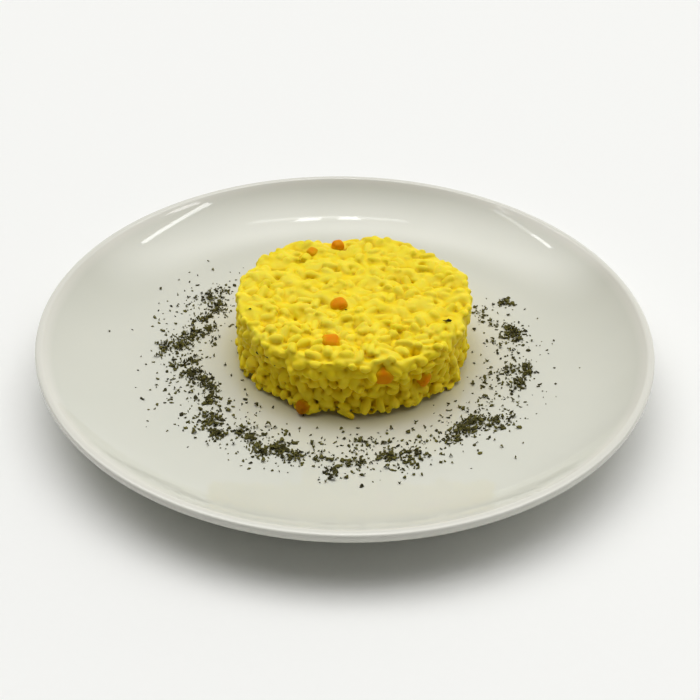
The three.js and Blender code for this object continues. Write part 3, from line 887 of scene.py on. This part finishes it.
def edges_of(triangles):
    """Each edge of closed triangles once."""
    pairs = np.concatenate([triangles[:, [0, 1]], triangles[:, [1, 2]], triangles[:, [2, 0]]])
    return pairs[pairs[:, 0] < pairs[:, 1]]


grain_faces = ball_faces(GRAIN_RINGS, GRAIN_SIDES)
blocks = np.concatenate([grains_on_map(grain_rng, *layer) for layer in layers])
grain_points, grain_all_faces = joined(blocks, grain_faces)
core_points, core_faces = cream_core()
heap_points = np.concatenate([grain_points, core_points])
heap_faces = np.concatenate([grain_all_faces, core_faces + len(grain_points)])
heap_points[:, 2] = np.maximum(heap_points[:, 2], WELL_Z)
print("heap before the remesh:", len(heap_faces), "faces")

heap = applied(mesh_of("heap", heap_points, heap_faces), "REMESH", mode="VOXEL", voxel_size=VOXEL * MM)
skin_points, skin_faces = outer_shell(heap)
skin_edges = edges_of(skin_faces)
print("one skin:", len(skin_points), "points,", len(skin_faces), "faces")

# %% Melt the joints
MELT_ROUNDS, MELT_PULL = 5, 0.6
MELT_LEAST, MELT_ON_TOP = 0.26, 0.26  # everywhere, and what the smoothed top adds to it
MELT_PATCH_SIZE, MELT_SEED = 11, 21
TOP_DEPTH, TOP_FADE = 5, 4  # how far down the top reaches, and how soon it fades in
FOOT_LIFT = 0.02  # keeps the rice's underside off the plate's face

topness = np.clip((skin_points[:, 2] - TIMBALE_AT[2] - HEIGHT + TOP_DEPTH) / TOP_FADE, 0, 1)
patches = np.clip(0.5 + 0.7 * swell(skin_points, MELT_PATCH_SIZE, MELT_SEED), 0, 1)
melt = MELT_LEAST + MELT_ON_TOP * topness * patches
for _ in range(MELT_ROUNDS):
    pull = neighbour_mean(skin_points, skin_edges) - skin_points
    skin_points += MELT_PULL * melt[:, None] * pull
skin_points[:, 2] = np.maximum(skin_points[:, 2], WELL_Z + FOOT_LIFT)

# %% Thin the mesh
MOST_FACES = 190_000
rice_mesh = mesh_of("risotto", skin_points, skin_faces)
if len(skin_faces) > MOST_FACES:
    rice_mesh = applied(rice_mesh, "DECIMATE", ratio=MOST_FACES / len(skin_faces))
rice_mesh.name = "risotto"
rice_mesh.polygons.foreach_set("use_smooth", np.ones(len(rice_mesh.polygons), bool))
rice_points = read(rice_mesh.vertices, "co", 3, np.float32).astype(float) / MM
rice_normals = read(rice_mesh.vertices, "normal", 3, np.float32).astype(float)
rice_edges = read(rice_mesh.edges, "vertices", 2, np.int32)

# %% Hollows and flanks
HOLLOW_ROUNDS = 14  # of averaging, which give the skin without its grains
HOLLOW_DEPTH = 1.6  # depth that takes the attribute from 0 to 1
FLANK_DOWN = (2.0, 7.0)  # below the top, where the side's painted light begins and where it is full

blurred = rice_points
for _ in range(HOLLOW_ROUNDS):
    blurred = neighbour_mean(blurred, rice_edges)
cavity = np.einsum("ij,ij->i", blurred - rice_points, rice_normals)
down = TIMBALE_AT[2] + HEIGHT - rice_points[:, 2]
print("cavity, mm:", np.round(np.percentile(cavity, [2, 25, 50, 75, 98]), 2))
# hollow: joints and pits get a deeper colour and painted shade from it
set_attribute(rice_mesh, "hollow", np.clip(0.5 + cavity / HOLLOW_DEPTH, 0, 1))
# flank: where the side is painted brighter and warmer, as painted light
set_attribute(rice_mesh, "flank", smooth_step(down, *FLANK_DOWN))

# %% [markdown]
# ## The look of saffron rice
#
# Turmeric or saffron dyes the starch a strong lemon yellow, paler on the crests where the
# grain itself shows. Between the grains the colour is deeper and more golden: partly the starch
# that gathers there, and partly painted shade. Light goes a millimetre or two into the grains
# and comes out warmer. A wet film of starch gives a soft, broken gloss. Patches of the rice are
# paler. The side is painted a little brighter and warmer than the top, as painted light, and
# the pits are painted brown: a deeper colour and painted shade. For both the mesh carries its
# own numbers, `flank` and `hollow`.

# %% Saffron rice
CREST_COLOURS = (0.93, 0.75, 0.043), (0.85, 0.682, 0.016)  # each pair is clouded together
# the side's crest colour, painted brighter and warmer: painted light
FLANK_PAINTED_LIGHT_COLOURS = (0.955, 0.735, 0.028), (0.89, 0.685, 0.010)
# joints darker: a deeper starch colour and painted shade
JOINT_STARCH_AND_SHADE_COLOURS = (0.90, 0.645, 0.0), (0.82, 0.585, 0.0)
# pits brown: a deeper colour and painted shade
PALE_COLOUR, PIT_COLOUR_AND_SHADE = (0.84, 0.725, 0.055), (0.48, 0.29, 0.0)
JOINT_HOLLOW, PIT_HOLLOW = (0.47, 0.72), (0.68, 0.95)  # hollow where each begins and is full
PALE_SHARE = 0.6


def saffron_rice():
    """Crest, joint and pit colours by the hollow (partly painted shade), and the flank's painted light.
    """
    material, recipe = material_of("saffron rice")
    hollow = recipe.attribute("hollow")
    cloud = recipe.between(recipe.noise(8.0), 0.3, 0.7)
    fine = recipe.noise(0.9)
    pale = recipe.between(recipe.noise(18.0), 0.5, 0.68)
    crest = recipe.mix(*CREST_COLOURS, cloud)
    crest = recipe.mix(crest, PALE_COLOUR, pale * PALE_SHARE)
    # the side painted brighter and warmer: painted light
    crest = recipe.mix(crest, recipe.mix(*FLANK_PAINTED_LIGHT_COLOURS, cloud), recipe.attribute("flank"))
    # joints darker: deeper starch colour and painted shade
    joint = recipe.mix(*JOINT_STARCH_AND_SHADE_COLOURS, cloud)
    skin = recipe.mix(crest, joint, recipe.between(hollow, *JOINT_HOLLOW))
    recipe.surface(
        # pits painted brown: a deeper colour and painted shade
        Base_Color=recipe.mix(skin, PIT_COLOUR_AND_SHADE, recipe.between(hollow, *PIT_HOLLOW)),
        Roughness=0.36 + 0.16 * fine,
        IOR=1.4,
        Specular_IOR_Level=0.18,
        Subsurface_Weight=0.35,
        Subsurface_Radius=(1.0, 0.65, 0.05),
        Subsurface_Scale=1.5 * MM,
        Normal=recipe.bump(fine, 0.06),
    )
    return material


piece_of("risotto_rice", rice_mesh, saffron_rice(), "rice", "risotto")

# %% [markdown]
# ## The look of cooked carrot
#
# Cooked carrot is a deep, even orange with little gloss. Where it meets the rice, starch has
# crept over its edge and dried in a blotchy yellow film, so each die carries a number that
# falls off with the distance to the nearest rice. The die at the toe carries a number too, for
# painted shade: it is painted darker, as it lies in the shade under the rice above it.

# %% Carrot finish
CARROT_COLOURS, CARROT_STARCH = ((0.82, 0.235, 0.0), (0.78, 0.31, 0.0)), (0.80, 0.50, 0.0)
TOE_DIE_PAINTED_SHADE = 0.45  # how much painted shade darkens the die at the toe
FILM_LEAST = 0.45  # how thick the starch film is in its thinnest blotches
STARCH_REACH = 1.1  # how far the film creeps from the rice
NEAR_DIE = 7  # only rice this close to a die's middle is measured


def carrot_orange():
    """Orange, darkened at the toe by painted shade, under a film of starch with blotches in it."""
    material, recipe = material_of("cooked carrot")
    cloud = recipe.between(recipe.noise(2.2), 0.3, 0.7)
    fine = recipe.noise(0.6)
    film = recipe.between(recipe.noise(2.0), 0.4, 0.6)
    # the die at the toe is darkened by painted shade
    carrot = recipe.mix(*CARROT_COLOURS, cloud) * (1 - TOE_DIE_PAINTED_SHADE * recipe.attribute("painted_shade"))
    starch = recipe.attribute("starch") * (FILM_LEAST + (1 - FILM_LEAST) * film)
    recipe.surface(
        Base_Color=recipe.mix(carrot, CARROT_STARCH, starch),
        Roughness=0.45 + 0.15 * fine,
        IOR=1.4,
        Specular_IOR_Level=0.08,
        Subsurface_Weight=0.15,
        Subsurface_Radius=(1.0, 0.4, 0.06),
        Subsurface_Scale=1.2 * MM,
        Normal=recipe.bump(fine, 0.08),
    )
    return material


carrot_finish = carrot_orange()
for node, points in dice.items():
    name = node + "_die"
    near = rice_points[np.abs(rice_points - points.mean(0)).max(1) < NEAR_DIE]
    gap = np.linalg.norm(points[:, None] - near[None], axis=-1).min(1)
    die_mesh = mesh_of(name, points, outward(points, DIE_FACES))
    set_attribute(die_mesh, "starch", np.exp(-(gap / STARCH_REACH) ** 2))
    # painted shade for the die at the toe
    set_attribute(die_mesh, "painted_shade", np.full(len(points), float(node == "carrot_toe")))
    piece_of(name, die_mesh, carrot_finish, "carrot", node)

# %% [markdown]
# ## Dried herbs
#
# The ring is crushed dried leaf, sprinkled by hand: bits of half a millimetre to three, in
# little piles where the fingers opened and scattered singly between them. Each bit is a thin
# wavy chip. Its two faces are the same fan of triangles, one thickness apart, and its rim joins
# them. The piles are drawn at random along a few stretches of the ring, more in one than in
# another, and the rest is scattered all along it, but for a gap behind. A few single bits,
# called specks here, lie on the rice.

# %% Where the herbs lie
HERB_SEED = 4
HERB_STRETCHES = [  # from and to direction in degrees, radius, piles, and flakes in a pile
    (0, 35, 77, 4, 45),  # right and behind, thin
    (140, 165, 71, 5, 40),
    (165, 215, 72, 12, 50),  # left, where the hand stayed longest
    (220, 255, 74, 8, 48),
    (260, 295, 77, 7, 40),  # in front, looser
    (305, 325, 77, 5, 50),
    (340, 355, 77, 3, 50),
]
PILE_OFF_RING = 4.0  # how unevenly the piles lie in or out of their stretch
PILE_LENGTH, PILE_WIDTH = 2.6, 2.1  # along the ring and across it
PILE_SIZES, PILE_FLAKES = (0.7, 1.3), (0.5, 1.5)  # least and most share of the usual ones
PILE_HEIGHT, HIGH_PILE = 0.9, 60  # the most a flake is lifted, and the flakes that it takes
RING_FLAKES = 1300  # single ones
RING_R, RING_SPREAD, RING_TAILS = 75.0, 7.5, 7  # low tails throw the odd flake far
# The gap in the ring, behind the rice: its direction, half its width, and its soft ends.
GAP_MIDDLE, GAP_HALF, GAP_FADE = math.radians(82), math.radians(44), math.radians(26)
HERB_CLEARANCE = 1.5  # round the rice
FLAKE_SIZE, FLAKE_SIZE_SPREAD, FLAKE_SIZES = 1.28, 0.45, (0.5, 3.0)  # usual, spread and limits
TOP_SPECKS = [(40.0, -21.0, 4.3), (-43.8, -15.4, 1.6), (-3.1, -13.0, 1.3)]  # x, y and size
SIDE_SPECKS = [  # direction in degrees, height and size
    (193.6, 16.6, 0.9), (199.0, 6.4, 0.7), (219.7, 18.4, 1.7), (228.0, 21.5, 1.6), (233.5, 20.0, 0.8),
]
SPECK_LIFT, SPECK_SHADE = 0.05, 0.1

# %% One flake and many
FLAKE_SIDES, FLAKE_THICK = 7, 0.22
CORNER_JITTER, CORNER_REACH = 0.35, (0.65, 1.15)  # shares of a step round it and of its size
SLIMNESS = (0.3, 0.8)  # width over length
CURL, TIP = 0.16, 0.22  # how much it curls, and how unevenly it lies


def flakes_at(rng, middle, up, size, lift, spin):
    """Flakes as blocks of points: a fan of FLAKE_SIDES corners round a middle, twice, one
    thickness apart. Corner k of a flake lies at the angle 2 pi k / n, jittered, about half the
    size away along the leaf and a quarter across, and rises by a wave of that angle."""
    count = len(middle)
    corner = np.arange(FLAKE_SIDES) + rng.uniform(-CORNER_JITTER, CORNER_JITTER, (count, FLAKE_SIDES))
    angle = corner * 2 * math.pi / FLAKE_SIDES
    reach = size[:, None] / 2 * rng.uniform(*CORNER_REACH, (count, FLAKE_SIDES))
    slim = rng.uniform(*SLIMNESS, (count, 1))
    x, y = reach * np.cos(angle), reach * np.sin(angle) * slim
    curl = rng.normal(0, CURL, (count, 1)) * np.cos(2 * angle + rng.uniform(0, 6.28, (count, 1)))
    z = curl * size[:, None]
    x, y, z = (np.concatenate([part, np.zeros((count, 1))], 1) for part in (x, y, z))
    face = np.stack([x, y, z], -1)
    chips = np.concatenate([face + [0, 0, FLAKE_THICK / 2], face - [0, 0, FLAKE_THICK / 2]], 1)
    across = np.stack([np.cos(spin), np.sin(spin), 0 * spin], -1)
    up = up + rng.normal(0, TIP, (count, 3))
    up /= np.linalg.norm(up, axis=1, keepdims=True)
    across -= up * (across * up).sum(1, keepdims=True)
    across /= np.linalg.norm(across, axis=1, keepdims=True)
    axes = np.stack([across, np.cross(up, across), up], 1)
    placed = np.einsum("nkj,nji->nki", chips, axes) + middle[:, None]
    lowest = chips[:, :, 2].min(1)
    return placed + (lift - lowest)[:, None, None] * up[:, None]


def flake_faces():
    """Two fans, the lower one turned round, and a rim between them."""
    here = np.arange(FLAKE_SIDES)
    beside = np.roll(here, -1)
    middle, lower = np.full(FLAKE_SIDES, FLAKE_SIDES), FLAKE_SIDES + 1
    return np.concatenate([
        np.stack([middle, here, beside], 1),
        np.stack([middle, beside, here], 1) + lower,
        np.stack([here, here + lower, beside], 1),
        np.stack([beside, here + lower, beside + lower], 1),
    ])


# %% Piles, ring and specks
def herb_piles(rng):
    """The piles as rows of direction, radius, length, width and number of flakes. Each stretch
    is cut into as many equal parts as it has piles, and one lies at random in each part."""
    piles = []
    for start, end, radius, count, flakes in HERB_STRETCHES:
        direction = start + (end - start) * (np.arange(count) + rng.uniform(0, 1, count)) / count
        uneven = rng.uniform(*PILE_SIZES, (2, count))
        piles.append(np.stack([
            np.radians(direction),
            radius + PILE_OFF_RING * rng.normal(size=count),
            PILE_LENGTH * uneven[0],
            PILE_WIDTH * uneven[1],
            flakes * rng.uniform(*PILE_FLAKES, count),
        ], 1))
    return np.concatenate(piles)


def herb_places(rng):
    """Where the flakes lie on the plate, as x, y, and how high each is lifted in its pile."""
    spots, lifts = [], []
    for direction, radius, length, width, flakes in herb_piles(rng):
        count = round(flakes)
        away = rng.normal(size=(2, count))
        turn = direction + away[0] * length / radius
        r = radius + away[1] * width
        spots.append(np.stack([r * np.cos(turn), r * np.sin(turn)], 1))
        core = np.exp(-0.5 * (away ** 2).sum(0))
        lifts.append(core * rng.uniform(0, PILE_HEIGHT, count) * min(1.0, count / HIGH_PILE))
    turn = rng.uniform(0, 2 * math.pi, 3 * RING_FLAKES)
    off = np.abs((turn - GAP_MIDDLE + math.pi) % (2 * math.pi) - math.pi)
    kept = rng.uniform(size=len(turn)) < smooth_step(off, GAP_HALF, GAP_HALF + GAP_FADE)
    turn = turn[kept][:RING_FLAKES]
    r = RING_R + RING_SPREAD * rng.standard_t(RING_TAILS, len(turn))
    spots.append(np.stack([r * np.cos(turn), r * np.sin(turn)], 1))
    lifts.append(np.zeros(len(turn)))
    return np.concatenate(spots), np.concatenate(lifts)


herb_rng = np.random.default_rng(HERB_SEED)
spots, lifts = herb_places(herb_rng)
off_rice = (spots - TIMBALE_AT[:2]) / (np.array([RADIUS_X, RADIUS_Y]) + HERB_CLEARANCE)
beside_rice = np.hypot(*off_rice.T) > 1
spots, lifts = spots[beside_rice], lifts[beside_rice]
spot_r = np.hypot(*spots.T)
spot_slope = plate_slope(spot_r)[:, None]
spot_up = np.concatenate([-np.sin(spot_slope) * spots / spot_r[:, None], np.cos(spot_slope)], 1)
spot_middle = np.concatenate([spots, plate_top(spot_r)[:, None]], 1)
flake_size = herb_rng.lognormal(math.log(FLAKE_SIZE), FLAKE_SIZE_SPREAD, len(spots))
flake_size = np.clip(flake_size, *FLAKE_SIZES)
spin = herb_rng.uniform(0, 2 * math.pi, len(spots))
plate_flakes = flakes_at(herb_rng, spot_middle, spot_up, flake_size, lifts, spin)

top_specks, side_specks = np.array(TOP_SPECKS), np.array(SIDE_SPECKS)
top_walk, top_turn = np.hypot(*top_specks[:, :2].T), np.arctan2(top_specks[:, 1], top_specks[:, 0])
speck_places = np.concatenate([
    wrap(top_walk, top_turn, 0),
    wrap(walk_down_to(side_specks[:, 1]), np.radians(side_specks[:, 0]), 0),
])
under = [np.linalg.norm(rice_points - place, axis=1).argmin() for place in speck_places]
speck_size = np.concatenate([top_specks[:, 2], side_specks[:, 2]])
speck_lift, speck_spin = np.full(len(under), SPECK_LIFT), np.zeros(len(under))
rice_flakes = flakes_at(
    herb_rng, rice_points[under], rice_normals[under], speck_size, speck_lift, speck_spin
)
print("flakes on the plate:", len(plate_flakes), "on the rice:", len(rice_flakes))

all_flakes = np.concatenate([plate_flakes, rice_flakes])
herb_points, herb_faces = joined(all_flakes, flake_faces())
herb_mesh = mesh_of("herb_flakes", herb_points, outward(herb_points, herb_faces))
shade = np.append(herb_rng.uniform(size=len(plate_flakes)), np.full(len(under), SPECK_SHADE))
set_attribute(herb_mesh, "shade", np.repeat(shade, all_flakes.shape[1]))

# %% [markdown]
# ## The look of dried leaf
#
# Dried leaf is dull and a dark olive, and no two bits are quite alike. Each flake has one
# shade of its own, the same at all its points, and lighter blotches show on the lighter ones.

# %% Dried leaf
LEAF_DARK, LEAF_LIGHT, LEAF_BLOTCH = (0.022, 0.019, 0.003), (0.112, 0.103, 0.017), (0.170, 0.152, 0.030)


def dried_leaf():
    """Dark to light by each flake's own shade, with blotches."""
    material, recipe = material_of("dried herb leaf")
    shade = recipe.attribute("shade")
    leaf = recipe.mix(LEAF_DARK, LEAF_LIGHT, shade)
    blotch = recipe.between(recipe.noise(0.7), 0.4, 0.65)
    recipe.surface(
        Base_Color=recipe.mix(leaf, LEAF_BLOTCH, blotch * shade),
        Roughness=0.85,
        Specular_IOR_Level=0.3,
        Normal=recipe.bump(recipe.noise(0.25), 0.08),
    )
    return material


piece_of("herb_flakes", herb_mesh, dried_leaf(), "herb")

# %% [markdown]
# ## Floor and sky
#
# The dish stands on a plain white sheet in a light tent: the light comes softly from above and
# behind, and hardly any from the camera's side. A large lamp would light the near floor more
# than the far one, so a sky that changes with its direction does it, evenly over the whole
# floor. Its brightness is a sum of a roof, a back wall and a little from the front right.

# %% Floor
FLOOR_HALF = 4000.0
PAPER, PAPER_FIBRE = (0.90, 0.90, 0.885), (0.91, 0.91, 0.895)


def white_sheet():
    """Dull white paper, very faintly clouded."""
    material, recipe = material_of("white paper sheet")
    fibre = recipe.noise(3.0)
    recipe.surface(
        Base_Color=recipe.mix(PAPER, PAPER_FIBRE, fibre),
        Roughness=0.95,
        Specular_IOR_Level=0.0,
    )
    return material


corners = np.array([[-1, -1, 0], [1, -1, 0], [1, 1, 0], [-1, 1, 0]]) * FLOOR_HALF
floor_mesh = mesh_of("floor", corners, np.array([[0, 1, 2, 3]]))
floor_mesh.materials.append(white_sheet())
floor = bpy.data.objects.new("floor", floor_mesh)
bpy.context.collection.objects.link(floor)

# %% Sky
TENT_ROOF, TENT_BACK, TENT_FRONT = 3.67, 0.84, 0.3  # how bright each part is
ROOF_NEAR, ROOF_FAR = (-24, 21), (30, 47)  # its edges, in degrees from upright towards the back
ROOF_LEFT, ROOF_RIGHT = (-74, -17), (-7, 85)  # and towards the right
BACK_EDGE, BACK_ACROSS, BACK_LEFT = (20, 66), (-90, 90), 0.3  # dimmer at its left end
FRONT_EDGE, FRONT_ACROSS = (-30, 20), (10, 60)
world = bpy.data.worlds.new("light tent")
bpy.context.scene.world = world
sky = Recipe(world)
direction = sky.node("ShaderNodeTexCoord", output="Generated")
split = sky.node("ShaderNodeSeparateXYZ", None, {"Vector": direction})
toward_right, toward_back, upward = (Wire(sky, split.socket.node.outputs[axis]) for axis in "XYZ")


def lean_from_upright(sideways):
    """The angle from straight up to a direction, seen along one level axis."""
    return sky.node("ShaderNodeMath", {"operation": "ARCTAN2"}, {0: sideways, 1: upward})


def soft_edge(angle, start, end):
    """0 before the start, 1 after the end, both in degrees, and a soft curve between them."""
    sockets = {"Value": angle, "From Min": math.radians(start), "From Max": math.radians(end)}
    return sky.node("ShaderNodeMapRange", {"interpolation_type": "SMOOTHSTEP"}, sockets)


across, along = lean_from_upright(toward_right), lean_from_upright(toward_back)
roof_along = soft_edge(along, *ROOF_NEAR) * (1 - soft_edge(along, *ROOF_FAR))
roof_across = soft_edge(across, *ROOF_LEFT) * (1 - soft_edge(across, *ROOF_RIGHT))
roof = roof_along * roof_across
back_across = BACK_LEFT + (1 - BACK_LEFT) * soft_edge(across, *BACK_ACROSS)
back = soft_edge(along, *BACK_EDGE) * (1 - roof) * back_across
front_right = (1 - soft_edge(along, *FRONT_EDGE)) * soft_edge(across, *FRONT_ACROSS)
glow = roof * TENT_ROOF + back * TENT_BACK + front_right * TENT_FRONT
background = sky.node("ShaderNodeBackground", None, {"Color": (1.0, 1.0, 0.99), "Strength": glow})
sky.node("ShaderNodeOutputWorld", None, {"Surface": background})
print("sky nodes:", len(sky.tree.nodes))

# %% [markdown]
# ## Lamps
#
# The sky alone would leave the glaze dull, because it has no sharp edges to be mirrored. Long
# flat lamps, like tubes behind a tent's cloth, are mirrored as thin bright lines on the plate's
# wall. They are narrow, so they add little to the light on the rice.


# %% Lamps
def strip_lamp(name, start, end, width, radiance):
    """A flat lamp from start to end, facing the middle of the plate. Its power in watts is the
    radiance times four times its area."""
    start, end = Vector(start) * MM, Vector(end) * MM
    along, middle = (end - start).normalized(), (start + end) / 2
    out = middle.normalized()
    out = (out - along * out.dot(along)).normalized()
    light = bpy.data.lights.new(name, "AREA")
    light.shape = "RECTANGLE"
    light.size, light.size_y = (end - start).length, width * MM
    light.energy = radiance * 4 * light.size * light.size_y
    lamp = bpy.data.objects.new(name, light)
    axes = Matrix((along, out.cross(along), out)).transposed()
    lamp.matrix_world = Matrix.Translation(middle) @ axes.to_4x4()
    bpy.context.collection.objects.link(lamp)


LAMP_HEIGHT = 2700.0
LAMPS = [  # name, the two ends as x and y, width and radiance
    ("lamp_behind_wide", (-250, 1150), (430, 1150), 110, 1.7),
    ("lamp_behind_left", (-50, 1200), (25, 1200), 150, 5.7),
    ("lamp_behind_right", (95, 1240), (185, 1240), 150, 5.2),
    ("lamp_right", (1303, 184), (1500, 1430), 110, 5.6),
    ("lamp_outer_right", (1480, 180), (2270, 1120), 70, 4.2),
    ("lamp_left", (-1413, 192), (-1536, 926), 90, 1.9),
    ("lamp_left_end", (-1536, 926), (-1606, 1329), 90, 5.6),
    ("lamp_outer_left", (-1500, 200), (-2330, 860), 60, 1.5),
]
for name, start, end, width, radiance in LAMPS:
    strip_lamp(name, (*start, LAMP_HEIGHT), (*end, LAMP_HEIGHT), width, radiance)
print("lamps:", len(LAMPS))

# %% [markdown]
# ## Camera
#
# The camera looks down on the dish from half a metre away, as someone at the table does. Its
# place and two of its axes are given, the third is square to both, and together they are the
# camera's turn. Its focal length is given in pixels of a picture 700 pixels wide.

# %% Camera
PICTURE_WIDTH = 700.0
FOCAL_PIXELS = 1097.03
CAMERA_AT = (2.123, -403.143, 300.728)
CAMERA_RIGHT = Vector((0.999724, 0.013898, 0.018940))
CAMERA_UP = Vector((-0.023492, 0.591364, 0.806063))
SENSOR_WIDTH = 36.0
NEAREST_SEEN, FARTHEST_SEEN = 20.0, 30000.0

camera_data = bpy.data.cameras.new("camera")
camera_data.sensor_width = SENSOR_WIDTH
camera_data.lens = FOCAL_PIXELS / PICTURE_WIDTH * SENSOR_WIDTH
camera_data.clip_start, camera_data.clip_end = NEAREST_SEEN * MM, FARTHEST_SEEN * MM
camera = bpy.data.objects.new("camera", camera_data)
camera_turn = Matrix((CAMERA_RIGHT, CAMERA_UP, CAMERA_RIGHT.cross(CAMERA_UP))).transposed()
camera.matrix_world = Matrix.Translation(Vector(CAMERA_AT) * MM) @ camera_turn.to_4x4()
bpy.context.collection.objects.link(camera)
bpy.context.scene.camera = camera
bpy.context.scene.view_settings.view_transform = "Standard"
print("camera away from the dish, mm:", round(Vector(CAMERA_AT).length))
